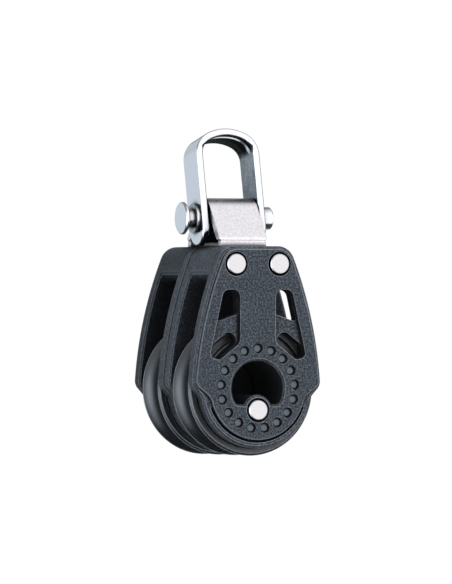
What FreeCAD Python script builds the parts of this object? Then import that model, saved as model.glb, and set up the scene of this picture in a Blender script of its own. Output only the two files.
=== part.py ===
import FreeCAD
import Part
import math
import os
import Sketcher

# Double sailing block. Millimetres, +Z up, X across the block, the front cheek towards -Y.
# The origin is the centre of the shackle's bow. The block hangs upright below it, and the shackle leans back.

# Driving dimensions: alias, value, what it measures.
DIMENSIONS = (
    ("sheave_diameter", 29.2, "outside diameter of a sheave"),
    ("sheave_width", 9.5, "sheave, side to side"),
    ("rope_groove_depth", 2.7, "depth of the rope groove below the rims"),
    ("tread_wall", 1.64, "wall between the rope groove and the race"),
    ("rim_round", 0.5, "bevel outside each rim"),
    ("web_ring", 1.5, "width of the flat ring round the bore"),
    ("web_band", 2.2, "width of the recess in a sheave's side"),
    ("web_depth", 0.7, "depth of the recess in a sheave's side"),
    ("web_slope", 0.5, "run of the recess's sloped walls"),
    ("ball_count", 17, "balls in one sheave"),
    ("ball_gap", 0.175, "gap between neighbouring balls"),
    ("race_clearance", 0.12, "ball to race"),
    ("race_lip", 0.72, "from the ball circle to the lip of either race"),
    ("side_clearance", 0.4, "sheave to plate, each side"),
    ("cheek_thickness", 3.0, "outer plate without its raised face"),
    ("face_height", 0.5, "how far the raised face stands out"),
    ("face_inset", 0.6, "raised face inside the plate's outline"),
    ("cover_thickness", 3.5, "rear centre plate"),
    ("back_thickness", 3.1, "front centre plate"),
    ("rope_room", 8.7, "from the top of a sheave to the underside of the head"),
    ("head_depth", 7.46, "head, underside to top"),
    ("head_width", 15.5, "width of the head at its top, corners sharp"),
    ("head_corner", 4.0, "radius of the head's corners"),
    ("side_bow", 88.0, "radius of the bowed sides"),
    ("waist_lap", 0.5, "how far the plate's waist stands out past a sheave, each side"),
    ("waist_height", 0.65, "height of the waist's corner"),
    ("waist_corner", 2.4, "radius of the waist's corner"),
    ("notch_drop", 2.0, "depth below the axis where the waist meets the foot"),
    ("notch_blend", 2.4, "inside radius between waist and foot"),
    ("foot_reveal", 1.7, "how far a sheave stands out below the plate's round foot"),
    ("foot_ledge", 1.75, "width of the ledge round the foot of the raised face"),
    ("foot_groove", 0.6, "width of the groove in that ledge, along the face"),
    ("foot_groove_depth", 0.5, "depth of that groove"),
    ("edge_bevel", 0.5, "bevel along the outer edges"),
    ("rope_bevel", 0.4, "bevel along the edges on the rope side"),
    ("face_bevel", 0.15, "bevel round the raised face"),
    ("channel_turn", 3.0, "radius at both ends of the head's underside"),
    ("channel_slope", 70.0, "slope of the underside where it leaves the head"),
    ("channel_flat", 14.6, "width of the flat underside"),
    ("root_fillet", 0.9, "fillet between the underside and its plate"),
    ("hub_wall", 1.87, "wall between the hub hole and the lip of the race"),
    ("hub_rivet_inset", 1.35, "hub rivet above the lowest point of the hub hole's circle"),
    ("hub_chord_rise", 1.2, "flat lower edge of the hub hole above the hub rivet"),
    ("hub_tab", 3.3, "radius of the tab round the hub rivet"),
    ("hub_corner", 1.1, "radius in the lower corners of the hub hole"),
    ("hub_lip", 0.45, "bevel round the hub hole"),
    ("dimple_floor", 1.7, "diameter of a blind dimple's floor"),
    ("dimple_depth", 0.6, "depth of a dimple"),
    ("dimple_lip", 0.24, "bevel round a dimple"),
    ("window_inner", 4.17, "inner edge of a window from the middle"),
    ("window_drop", 1.92, "top edge of a window below the underside of the head"),
    ("window_top_lap", 0.3, "outer top corner of a window outside the head's corner"),
    ("window_side", 3.75, "outer foot corner of a window inside the plate's waist"),
    ("window_foot_drop", 2.54, "foot of a window below the top of the ball circle"),
    ("window_foot_rise", 0.7, "how far the foot rises to its outer corner"),
    ("window_slant", 38.2, "slope of a window's slanted inner edge, in degrees"),
    ("window_margin", 1.71, "slanted inner edge outside the ball circle"),
    ("window_recess", 0.9, "depth of a window's recess"),
    ("window_ledge", 0.15, "ledge between recess and hole"),
    ("window_round", 1.65, "radius of a window's top and inner corners"),
    ("window_corner", 1.1, "radius of a window's foot corners"),
    ("hole_corner", 0.5, "radius of the upper hole's corners at the bridge"),
    ("hole_foot", 0.8, "radius of the lower hole's corners"),
    ("bridge_drop", 5.3, "inner end of the bridge's top edge below the window's top"),
    ("bridge_fall", 1.76, "how far that edge falls to its outer end"),
    ("slot_radius", 1.72, "round inner end of the lower hole"),
    ("slot_start", 2.38, "centre of that end from the window's inner edge"),
    ("rivet_side", 2.68, "head rivets inside the head's corners"),
    ("rivet_inset", 3.86, "head rivets below the top of the head"),
    ("rivet_shank", 3.2, "rivet shank"),
    ("rivet_head", 4.4, "rivet head"),
    ("rivet_sink", 1.1, "depth of the seat for a rivet head"),
    ("rivet_proud", 0.35, "how far a rivet head stands out of the face"),
    ("rivet_seat", 5.3, "diameter of the seat for a rivet head"),
    ("rivet_clearance", 0.1, "rivet shank to its hole"),
    ("rivet_edge", 0.2, "bevel round a rivet head"),
    ("strap_thickness", 1.45, "head strap's sheet"),
    ("strap_width", 11.2, "head strap across the block"),
    ("strap_shoulder", 0.3, "how much narrower its legs are, each side"),
    ("strap_floor", 0.9, "lower end of a strap leg above the underside of the head"),
    ("strap_bend", 1.5, "straight leg above the head before the bend"),
    ("strap_bend_radius", 0.9, "inside radius of the bend"),
    ("strap_slack", 0.3, "roll's inside radius over the pin's radius"),
    ("strap_play", 0.04, "pin to the top of the roll that hangs on it"),
    ("slot_clearance", 0.1, "strap leg to its slot"),
    ("pin_rise", 6.15, "shackle pin above the top of the head"),
    ("pin_diameter", 5.8, "shackle pin through ears and strap"),
    ("pin_fit", 0.03, "pin to the holes in the ears"),
    ("pin_head", 7.1, "disc head of the pin"),
    ("pin_head_thickness", 0.85, "thickness of the disc head"),
    ("pin_neck", 4.2, "neck between head and collar"),
    ("pin_neck_length", 1.85, "length of the neck"),
    ("pin_collar", 6.3, "collar against the left ear"),
    ("pin_collar_length", 0.8, "length of the collar"),
    ("pin_tail", 5.0, "tail outside the right ear"),
    ("pin_tail_length", 2.65, "length of the tail"),
    ("pin_flats", 4.5, "across the two flats of the tail"),
    ("pin_edge", 0.25, "bevels of the pin"),
    ("strip_thickness", 1.5, "shackle's strip"),
    ("strip_width", 7.8, "width of the strip"),
    ("strap_side_play", 0.35, "head strap to the shackle's strip, each side"),
    ("bow_corner", 3.8, "inside radius of the bow's two corners"),
    ("bow_crown", 8.8, "inside radius of the bow's crown between them"),
    ("bow_rise", 11.82, "centre of the bow above the pin"),
    ("ear_length", 6.0, "ear below the pin"),
    ("ear_round", 3.8, "radius of an ear's corners"),
    ("strip_edge", 0.22, "bevelled edges of the strip"),
    ("lean", 13.0, "how far the shackle leans back, in degrees"),
)

# Sizes worked out from the driving ones.
BAY = "(dims.sheave_width + 2 * dims.side_clearance)"
PAIR = "(dims.cover_thickness + dims.back_thickness)"
BAY_CENTRE = f"(({BAY} + {PAIR}) / 2)"
OUTER_FACE = f"({PAIR} / 2 + {BAY} + dims.cheek_thickness + dims.face_height)"
RACE_TOP = "(dims.sheave_diameter / 2 - dims.rope_groove_depth - dims.tread_wall)"
BALL_STEP = "sin(180 / dims.ball_count)"
BALL_CIRCLE = f"(({RACE_TOP} - dims.race_clearance + dims.ball_gap / 2) / (1 + {BALL_STEP}))"
BALL = f"({BALL_CIRCLE} * {BALL_STEP} - dims.ball_gap / 2)"
RACE = f"({BALL} + dims.race_clearance)"
HUB_SHOULDER = f"({BALL_CIRCLE} - dims.race_lip)"
BORE = f"({BALL_CIRCLE} + dims.race_lip)"
HUB_BORE = f"({HUB_SHOULDER} - dims.hub_wall)"
HUB_RIVET_DROP = f"({HUB_BORE} - dims.hub_rivet_inset)"
HUB_CHORD_DROP = f"({HUB_RIVET_DROP} - dims.hub_chord_rise)"
WAIST = "(dims.sheave_diameter / 2 + dims.waist_lap)"
FOOT = "(dims.sheave_diameter / 2 - dims.foot_reveal)"
FACE_FOOT = f"({FOOT} - dims.foot_ledge)"
CHANNEL_TOP = "(dims.sheave_diameter / 2 + dims.rope_room)"
HEAD_TOP = f"({CHANNEL_TOP} + dims.head_depth)"
RIVET_HEIGHT = f"({HEAD_TOP} - dims.rivet_inset)"
PIN_HEIGHT = f"({HEAD_TOP} + dims.pin_rise)"
PIN_Y = "(-dims.bow_rise * sin(dims.lean))"
PIN_Z = "(-dims.bow_rise * cos(dims.lean))"
AXIS_Z = f"({PIN_Z} - {PIN_HEIGHT})"
BOW_INSIDE = "(dims.strap_width / 2 + dims.strap_side_play)"
BOW_OUTSIDE = f"({BOW_INSIDE} + dims.strip_thickness)"
STRAP_FOOT = f"({CHANNEL_TOP} + dims.strap_floor)"
ROLL_DROP = "(dims.strap_slack - dims.strap_play)"
ROLL_HEIGHT = f"({PIN_HEIGHT} - {ROLL_DROP})"
WINDOW_TOP = f"({CHANNEL_TOP} - dims.window_drop)"
WINDOW_FOOT = f"({BALL_CIRCLE} - dims.window_foot_drop)"
WINDOW_OUTER = f"({WAIST} - dims.window_side)"
WINDOW_TOP_OUTER = "(dims.head_width / 2 + dims.window_top_lap)"
WINDOW_REACH = f"({BALL_CIRCLE} + dims.window_margin)"
WINDOW_HEIGHT = f"({WINDOW_TOP} - {WINDOW_FOOT} - dims.window_foot_rise)"
WINDOW_SIDE = f"(({WINDOW_OUTER} - {WINDOW_TOP_OUTER}) / {WINDOW_HEIGHT})"

SMALL = 1e-6

doc = FreeCAD.newDocument("double_block")
sheet = doc.addObject("Spreadsheet::Sheet", "dims")


def fill_sheet():
    """Write every driving dimension into the sheet and name its cell."""
    for row, (alias, value, meaning) in enumerate(DIMENSIONS, start=1):
        sheet.set(f"A{row}", meaning)
        sheet.set(f"B{row}", str(value))
        sheet.setAlias(f"B{row}", alias)
    doc.recompute()


def value_of(expression):
    """The present value of an expression over the sheet."""
    return float(sheet.evalExpression(expression.replace("dims.", "")))


def new_body(name):
    """A body of its own, labelled with the node's name."""
    body = doc.addObject("PartDesign::Body", name)
    body.Label = name
    return body


def place(item, x="0", y="0", z="0", turn=None):
    """Bind an object's place to the sheet, with an optional fixed or bound turn (axis, degrees)."""
    if turn:
        axis, degrees = turn
        item.Placement = FreeCAD.Placement(FreeCAD.Vector(), FreeCAD.Rotation(axis, value_of(degrees)))
        item.setExpression("Placement.Rotation.Angle", degrees)
    item.setExpression("Placement.Base.x", x)
    item.setExpression("Placement.Base.y", y)
    item.setExpression("Placement.Base.z", z)


def new_sketch(body, name, plane="XZ_Plane", offset=None):
    """A sketch on one of the body's own planes, set off along the plane's normal."""
    sketch = body.newObject("Sketcher::SketchObject", name)
    support = next(item for item in body.Origin.OriginFeatures if item.Role == plane)
    sketch.AttachmentSupport = [(support, "")]
    sketch.MapMode = "FlatFace"
    if offset:
        sketch.setExpression("AttachmentOffset.Base.z", offset)
    return sketch


def bind(sketch, kind, where, expression):
    """Add one dimension to a sketch and bind it to the sheet."""
    number = sketch.addConstraint(Sketcher.Constraint(kind, *where, value_of(expression)))
    name = f"{kind.lower()}_{number}"
    sketch.renameConstraint(number, name)
    sketch.setExpression(f"Constraints.{name}", expression)


def pin_point(sketch, element, end, x=None, y=None):
    """Hold a point of a sketch at its distances from the origin."""
    for kind, expression in (("DistanceX", x), ("DistanceY", y)):
        if expression is not None:
            bind(sketch, kind, (-1, 1, element, end), expression)


def add_circle(sketch, x, y, radius):
    """A circle with its centre and radius bound."""
    centre = FreeCAD.Vector(value_of(x), value_of(y), 0)
    circle = Part.Circle(centre, FreeCAD.Vector(0, 0, 1), value_of(radius))
    number = sketch.addGeometry(circle, False)
    pin_point(sketch, number, 3, x, y)
    bind(sketch, "Radius", (number,), radius)


def arc_between(start, end, centre=None, radius=None, clockwise=False):
    """The arc from start to end about a centre, or the shorter one of a radius."""
    if clockwise:
        start, end = end, start
    if centre is None:
        chord = end - start
        left = FreeCAD.Vector(-chord.y, chord.x, 0).normalize()
        centre = (start + end) * 0.5 + left * math.sqrt(radius ** 2 - (chord.Length / 2) ** 2)
    else:
        radius = (start - centre).Length
    first = math.atan2(start.y - centre.y, start.x - centre.x)
    last = math.atan2(end.y - centre.y, end.x - centre.x)
    circle = Part.Circle(centre, FreeCAD.Vector(0, 0, 1), radius)
    return Part.ArcOfCircle(circle, first, last if last > first else last + 2 * math.pi)


def add_outline(sketch, points, arcs=None):
    """A closed outline through points of (x, y, held), with arcs on the numbered segments.

    held names the coordinates that are bound. An arc is {"centre": (x, y)} with an optional bound radius,
    or {"radius": r}, and may be clockwise.
    """
    arcs = arcs or {}
    corners = [FreeCAD.Vector(value_of(x), value_of(y), 0) for x, y, _ in points]
    ends = []
    for number, start in enumerate(corners):
        end = corners[(number + 1) % len(corners)]
        arc = arcs.get(number)
        if arc is None:
            element = sketch.addGeometry(Part.LineSegment(start, end), False)
            ends.append((element, 1, 2))
            continue
        centre = arc.get("centre")
        middle = FreeCAD.Vector(value_of(centre[0]), value_of(centre[1]), 0) if centre else None
        radius = value_of(arc["radius"]) if "radius" in arc else None
        clockwise = arc.get("clockwise", False)
        element = sketch.addGeometry(arc_between(start, end, middle, radius, clockwise), False)
        ends.append((element, 2, 1) if clockwise else (element, 1, 2))
    for number, (element, _, last) in enumerate(ends):
        after, first, _ = ends[(number + 1) % len(ends)]
        sketch.addConstraint(Sketcher.Constraint("Coincident", element, last, after, first))
    for (x, y, held), (element, first, _) in zip(points, ends):
        pin_point(sketch, element, first, x if "x" in held else None, y if "y" in held else None)
    for number, arc in arcs.items():
        element = ends[number][0]
        if "centre" in arc:
            pin_point(sketch, element, 3, *arc["centre"])
        if "radius" in arc:
            bind(sketch, "Radius", (element,), arc["radius"])


def checked(body, feature, grows):
    """Rebuild, and stop if the feature added or removed nothing."""
    before = body.Shape.Volume if not body.Shape.isNull() else 0.0
    doc.recompute()
    change = body.Shape.Volume - before
    if (change if grows else -change) < SMALL:
        raise RuntimeError(f"{body.Label}: {feature.Label} changed nothing")
    return feature


def extrude(body, kind, name, sketch, length, reverse=False, symmetric=False):
    """Pad or pocket a sketch by a bound length."""
    feature = body.newObject(f"PartDesign::{kind}", f"{body.Label}_{name}")
    feature.Profile = sketch
    feature.SideType = "Symmetric" if symmetric else "One side"
    feature.Reversed = reverse
    feature.setExpression("Length", length)
    sketch.Visibility = False
    return checked(body, feature, kind == "Pad")


def turn_profile(body, kind, name, sketch, axis="H_Axis"):
    """Revolve a sketch once round one of its own axes, to add or to remove."""
    feature = body.newObject(f"PartDesign::{kind}", f"{body.Label}_{name}")
    feature.Profile = sketch
    feature.ReferenceAxis = (sketch, [axis])
    feature.Angle = 360
    return checked(body, feature, kind == "Revolution")


def dress(body, kind, name, edges, size):
    """Fillet or chamfer the named edges of the body's last feature by a bound size."""
    if not edges:
        raise RuntimeError(f"{body.Label}: {name} finds no edge")
    before = body.Tip
    feature = body.newObject(f"PartDesign::{kind}", f"{body.Label}_{name}")
    feature.Base = (before, edges)
    feature.setExpression("Radius" if kind == "Fillet" else "Size", size)
    doc.recompute()
    if "Invalid" in feature.State:
        raise RuntimeError(f"{body.Label}: {name} fails")
    return feature


def pick_edges(body, test):
    """Names of the edges of the body's last feature that pass a test."""
    return [f"Edge{number}" for number, edge in enumerate(body.Tip.Shape.Edges, start=1) if test(edge)]


def runs_along(edge, axis, places):
    """Whether an edge is straight along an axis and stands at one of the places across it."""
    if edge.Curve.TypeId != "Part::GeomLine" or abs(abs(edge.Curve.Direction.dot(axis)) - 1) > SMALL:
        return False
    middle = edge.CenterOfMass
    across = middle - axis * middle.dot(axis)
    return any((across - spot).Length < 0.01 for spot in places)


def rim_edges(body, level):
    """Names of the edges round the outside of the body's flat face at a level along Y."""
    faces = [face for face in body.Tip.Shape.Faces if abs(face.BoundBox.YMin - level) < 0.001
             and abs(face.BoundBox.YMax - level) < 0.001]
    widest = max(faces, key=lambda face: face.BoundBox.XLength)
    rim = widest.OuterWire.Edges
    return pick_edges(body, lambda edge: any(edge.isSame(other) for other in rim))


def lies_in(edge, axis, distance):
    """Whether a whole edge lies in the plane at a distance along an axis."""
    box = edge.BoundBox
    low = FreeCAD.Vector(box.XMin, box.YMin, box.ZMin).dot(axis)
    high = FreeCAD.Vector(box.XMax, box.YMax, box.ZMax).dot(axis)
    return abs(low - distance) < 0.001 and abs(high - distance) < 0.001


X_AXIS = FreeCAD.Vector(1, 0, 0)
Y_AXIS = FreeCAD.Vector(0, 1, 0)
Z_AXIS = FreeCAD.Vector(0, 0, 1)


def plate_corners(inset):
    """The sharp corners of a plate's outline, inset from its edge, right side only."""
    head = (f"(dims.head_width / 2 - {inset})", f"({HEAD_TOP} - {inset})")
    waist = (f"({WAIST} - {inset})", f"(dims.waist_height + {inset} / 3)")
    return head, waist


def rectangle(sketch, left, right, low, high):
    """A rectangle between two distances along each of the sketch's axes."""
    add_outline(sketch, [(left, low, "xy"), (right, low, "xy"), (right, high, "xy"), (left, high, "xy")])


def plate_outline(sketch, inset, foot):
    """Flat head, bowed sides, waist cut in at a slant, and a round foot about the sheave axis."""
    (head_x, head_z), (waist_x, waist_z) = plate_corners(inset)
    foot_x = f"sqrt(pow({foot}; 2) - pow(dims.notch_drop; 2))"
    points = [
        (head_x, head_z, "xy"),
        (f"-{head_x}", head_z, "xy"),
        (f"-{waist_x}", waist_z, "xy"),
        (f"-{foot_x}", "-dims.notch_drop", "y"),
        (foot_x, "-dims.notch_drop", "y"),
        (waist_x, waist_z, "xy"),
    ]
    arcs = {
        1: {"radius": "dims.side_bow"},
        3: {"centre": ("0", "0"), "radius": foot},
        5: {"radius": "dims.side_bow"},
    }
    add_outline(sketch, points, arcs)


def both_sides(x, z):
    """The two places, left and right, of a pair of edges along Y."""
    return [FreeCAD.Vector(side * value_of(x), 0, value_of(z)) for side in (-1, 1)]


def round_outline(body, name, inset, foot):
    """Round the corners of a plate's outline: head, waist and the inside corners at the foot."""
    head, waist = plate_corners(inset)
    notch = (f"sqrt(pow({foot}; 2) - pow(dims.notch_drop; 2))", "-dims.notch_drop")
    for part, place_, radius in (
        ("head", head, f"(dims.head_corner - {inset})"),
        ("waist", waist, f"(dims.waist_corner - {inset})"),
        ("notch", notch, f"(dims.notch_blend + {inset})"),
    ):
        spots = both_sides(*place_)
        edges = pick_edges(body, lambda edge: runs_along(edge, Y_AXIS, spots))
        dress(body, "Fillet", f"{name}_{part}", edges, radius)


def rope_channel(body):
    """Open the bay under the head: flat underside that turns up at both ends."""
    sketch = new_sketch(body, f"{body.Label}_channel_sketch", offset=f"-{BAY}")
    wide = f"({WAIST} + 2)"
    deep = f"(-{FOOT} - 2)"
    flat = "(dims.channel_flat / 2)"
    turn_x = f"({flat} + dims.channel_turn * sin(dims.channel_slope))"
    turn_z = f"({CHANNEL_TOP} + dims.channel_turn * (1 - cos(dims.channel_slope)))"
    mouth_z = f"({turn_z} + ({wide} - {turn_x}) * tan(dims.channel_slope))"
    centre_z = f"({CHANNEL_TOP} + dims.channel_turn)"
    points = [
        (f"-{wide}", deep, "xy"),
        (wide, deep, "xy"),
        (wide, mouth_z, "xy"),
        (turn_x, turn_z, "xy"),
        (flat, CHANNEL_TOP, "x"),
        (f"-{flat}", CHANNEL_TOP, "x"),
        (f"-{turn_x}", turn_z, "xy"),
        (f"-{wide}", mouth_z, "xy"),
    ]
    arcs = {
        3: {"centre": (flat, centre_z), "clockwise": True},
        5: {"centre": (f"-{flat}", centre_z), "clockwise": True},
    }
    add_outline(sketch, points, arcs)
    extrude(body, "Pocket", "channel", sketch, BAY, reverse=True)


def strap_slot(body):
    """The slot in the head that takes one leg of the strap, open at the top."""
    sketch = new_sketch(body, f"{body.Label}_slot_sketch", offset=f"-{BAY} / 2")
    half = "(dims.strap_width / 2 - dims.strap_shoulder + dims.slot_clearance)"
    low = f"({STRAP_FOOT} - dims.slot_clearance)"
    high = f"({HEAD_TOP} + 1)"
    rectangle(sketch, f"-{half}", half, low, high)
    width = "dims.strap_thickness + 2 * dims.slot_clearance"
    extrude(body, "Pocket", "strap_slot", sketch, width, symmetric=True)


def half_hub(body):
    """Half of the hub that the sheave turns on, with half of the inner race at its end."""
    boss = new_sketch(body, f"{body.Label}_hub_sketch")
    add_circle(boss, "0", "0", HUB_SHOULDER)
    extrude(body, "Pad", "hub", boss, f"{BAY} / 2", reverse=True)
    race = new_sketch(body, f"{body.Label}_race_sketch", plane="YZ_Plane")
    add_circle(race, f"{BAY} / 2", BALL_CIRCLE, RACE)
    turn_profile(body, "Groove", "race", race)


def hub_hole(body, outer):
    """The hole through the hub, cut off below by a chord with a tab for the rivet."""
    sketch = new_sketch(body, f"{body.Label}_hole_sketch", offset=outer)
    chord = f"-{HUB_CHORD_DROP}"
    wide = f"sqrt(pow({HUB_BORE}; 2) - pow({HUB_CHORD_DROP}; 2))"
    tab = "sqrt(pow(dims.hub_tab; 2) - pow(dims.hub_chord_rise; 2))"
    points = [(wide, chord, "y"), (f"-{wide}", chord, "y"), (f"-{tab}", chord, "y"), (tab, chord, "y")]
    arcs = {
        0: {"centre": ("0", "0"), "radius": HUB_BORE},
        2: {"centre": ("0", f"-{HUB_RIVET_DROP}"), "radius": "dims.hub_tab", "clockwise": True},
    }
    add_outline(sketch, points, arcs)
    extrude(body, "Pocket", "hub_hole", sketch, f"{outer} + {BAY}")
    spots = both_sides(wide, chord)
    edges = pick_edges(body, lambda edge: runs_along(edge, Y_AXIS, spots))
    dress(body, "Fillet", "hub_corners", edges, "dims.hub_corner")
    level = -value_of(outer)
    reach = value_of(HUB_BORE) + 0.1
    rim = pick_edges(body, lambda edge: lies_in(edge, Y_AXIS, level) and edge.BoundBox.ZMax < reach
                     and edge.BoundBox.XMax < reach and edge.BoundBox.XMin > -reach
                     and edge.BoundBox.ZMin > -reach)
    dress(body, "Chamfer", "hub_lip", rim, "dims.hub_lip")


RIVETS = (
    ("(dims.rivet_side - dims.head_width / 2)", RIVET_HEIGHT),
    ("(dims.head_width / 2 - dims.rivet_side)", RIVET_HEIGHT),
    ("0", f"-{HUB_RIVET_DROP}"),
)


def rivet_holes(body, outer, depth):
    """Three holes for the rivet shanks, from the outer side through the whole piece."""
    sketch = new_sketch(body, f"{body.Label}_rivet_sketch", offset=outer)
    for x, z in RIVETS:
        add_circle(sketch, x, z, "dims.rivet_shank / 2 + dims.rivet_clearance")
    extrude(body, "Pocket", "rivet_holes", sketch, depth)


def rivet_seats(body, outer):
    """Flat-bottomed seats for the rivet heads in an outer plate."""
    sketch = new_sketch(body, f"{body.Label}_seat_sketch", offset=outer)
    for x, z in RIVETS:
        add_circle(sketch, x, z, "dims.rivet_seat / 2")
    extrude(body, "Pocket", "rivet_seats", sketch, "dims.rivet_sink")


def mirror_cut(body, feature):
    """Repeat a cut on the other side of the middle."""
    mirrored = body.newObject("PartDesign::Mirrored", f"{feature.Label}_left")
    mirrored.Originals = [feature]
    middle = next(item for item in body.Origin.OriginFeatures if item.Role == "YZ_Plane")
    mirrored.MirrorPlane = (middle, [""])
    body.Tip = mirrored
    doc.recompute()


def soften(body, name, spots, radius):
    """Round edges along Y at the given (x, z) places on both sides."""
    places = [spot for x, z in spots for spot in both_sides(x, z)]
    edges = pick_edges(body, lambda edge: runs_along(edge, Y_AXIS, places))
    dress(body, "Fillet", name, edges, radius)


def slanted(x, distance):
    """Height of the line at a distance from the sheave axis, parallel to a window's slanted edge."""
    return f"(({distance} - {x} * sin(dims.window_slant)) / cos(dims.window_slant))"


def upper_hole(body, outer):
    """The hole above the bridge of each window."""
    ledge = "dims.window_ledge"
    side = WINDOW_SIDE
    inner = f"(dims.window_inner + {ledge})"
    top = f"({WINDOW_TOP} - {ledge})"
    bridge = f"({WINDOW_TOP} - dims.bridge_drop)"
    outer_top = f"({WINDOW_TOP_OUTER} - {ledge})"
    outer_low = f"({WINDOW_TOP_OUTER} + {side} * (dims.bridge_drop + dims.bridge_fall) - {ledge})"
    high_corners = [(outer_top, top), (inner, top)]
    low_corners = [(inner, bridge), (outer_low, f"({bridge} - dims.bridge_fall)")]
    sketch = new_sketch(body, f"{body.Label}_above_sketch", offset=outer)
    add_outline(sketch, [(x, z, "xy") for x, z in low_corners + high_corners])
    mirror_cut(body, extrude(body, "Pocket", "upper_hole", sketch, f"({outer} + 1)"))
    soften(body, "upper_hole_top", high_corners, f"(dims.window_round - {ledge} / 2)")
    soften(body, "upper_hole_foot", low_corners, "dims.hole_corner")


def lower_hole(body, outer):
    """The slanted hole below the bridge of each window, round at its inner end."""
    ledge = "dims.window_ledge"
    near = f"({WINDOW_REACH} + {ledge})"
    middle = f"({near} + dims.slot_radius)"
    far = f"({near} + 2 * dims.slot_radius)"
    end_x = "(dims.window_inner + dims.slot_start)"
    end_z = slanted(end_x, middle)
    step_x = "(dims.slot_radius * sin(dims.window_slant))"
    step_z = "(dims.slot_radius * cos(dims.window_slant))"
    foot_z = f"({WINDOW_FOOT} + {ledge})"
    foot_x = f"(({near} - {foot_z} * cos(dims.window_slant)) / sin(dims.window_slant))"
    outer_foot = f"({WINDOW_FOOT} + dims.window_foot_rise)"
    rise = f"({far} / cos(dims.window_slant) - {outer_foot})"
    gain = f"({WINDOW_SIDE} * tan(dims.window_slant))"
    shoulder_x = f"(({WINDOW_OUTER} - {ledge} - {WINDOW_SIDE} * {rise}) / (1 - {gain}))"
    outline = [
        (f"({end_x} - {step_x})", f"({end_z} - {step_z})", "x"),
        (foot_x, foot_z, "xy"),
        (f"({WINDOW_OUTER} - {ledge})", f"({outer_foot} + {ledge})", "xy"),
        (shoulder_x, slanted(shoulder_x, far), "xy"),
        (f"({end_x} + {step_x})", f"({end_z} + {step_z})", "xy"),
    ]
    sketch = new_sketch(body, f"{body.Label}_below_sketch", offset=outer)
    add_outline(sketch, outline, {4: {"centre": (end_x, end_z)}})
    mirror_cut(body, extrude(body, "Pocket", "lower_hole", sketch, f"({outer} + 1)"))
    soften(body, "lower_hole_corners", [(x, z) for x, z, _ in outline[1:4]], "dims.hole_foot")


def windows(body, outer, through):
    """Each window: a recess and, where it goes through, a hole above its bridge and one below it."""
    if through:
        upper_hole(body, outer)
        lower_hole(body, outer)
    recess = new_sketch(body, f"{body.Label}_recess_sketch", offset=outer)
    bend = ("dims.window_inner", slanted("dims.window_inner", WINDOW_REACH))
    foot_x = f"(({WINDOW_REACH} - {WINDOW_FOOT} * cos(dims.window_slant)) / sin(dims.window_slant))"
    feet = [(foot_x, WINDOW_FOOT), (WINDOW_OUTER, f"({WINDOW_FOOT} + dims.window_foot_rise)")]
    tops = [(WINDOW_TOP_OUTER, WINDOW_TOP), ("dims.window_inner", WINDOW_TOP)]
    add_outline(recess, [(x, z, "xy") for x, z in [bend] + feet + tops])
    mirror_cut(body, extrude(body, "Pocket", "recess", recess, "dims.window_recess"))
    soften(body, "recess_rounds", [bend] + tops, "dims.window_round")
    soften(body, "recess_feet", feet, "dims.window_corner")


def dimples(body, outer):
    """The ring of blind dimples on the ball circle, one of them at the top."""
    sketch = new_sketch(body, f"{body.Label}_dimple_sketch", offset=outer)
    add_circle(sketch, "0", BALL_CIRCLE, "dims.dimple_floor / 2")
    first = extrude(body, "Pocket", "dimple", sketch, "dims.dimple_depth")
    ring = body.newObject("PartDesign::PolarPattern", f"{body.Label}_dimple_ring")
    ring.Originals = [first]
    axis = next(item for item in body.Origin.OriginFeatures if item.Role == "Y_Axis")
    ring.Axis = (axis, [""])
    ring.Angle = 360
    ring.setExpression("Occurrences", "dims.ball_count")
    body.Tip = ring
    doc.recompute()
    level = -value_of(outer)
    size = value_of("dims.dimple_floor")
    mouths = pick_edges(body, lambda edge: lies_in(edge, Y_AXIS, level)
                        and abs(edge.BoundBox.XLength - size) < 0.01)
    dress(body, "Chamfer", "dimple_lips", mouths, "dims.dimple_lip")


def foot_groove(body, outer):
    """The groove in the ledge along the round foot of the raised face."""
    sketch = new_sketch(body, f"{body.Label}_groove_sketch", offset=outer)
    rim = f"({FACE_FOOT} + dims.foot_groove)"
    level = "(-2 * dims.notch_drop)"
    wide = f"sqrt(pow({rim}; 2) - pow({level}; 2))"
    narrow = f"sqrt(pow({FACE_FOOT}; 2) - pow({level}; 2))"
    points = [(f"-{wide}", level, "y"), (wide, level, "y"), (narrow, level, "y"), (f"-{narrow}", level, "y")]
    arcs = {
        0: {"centre": ("0", "0"), "radius": rim},
        2: {"centre": ("0", "0"), "radius": FACE_FOOT, "clockwise": True},
    }
    add_outline(sketch, points, arcs)
    extrude(body, "Pocket", "foot_groove", sketch, "dims.face_height + dims.foot_groove_depth")


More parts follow.
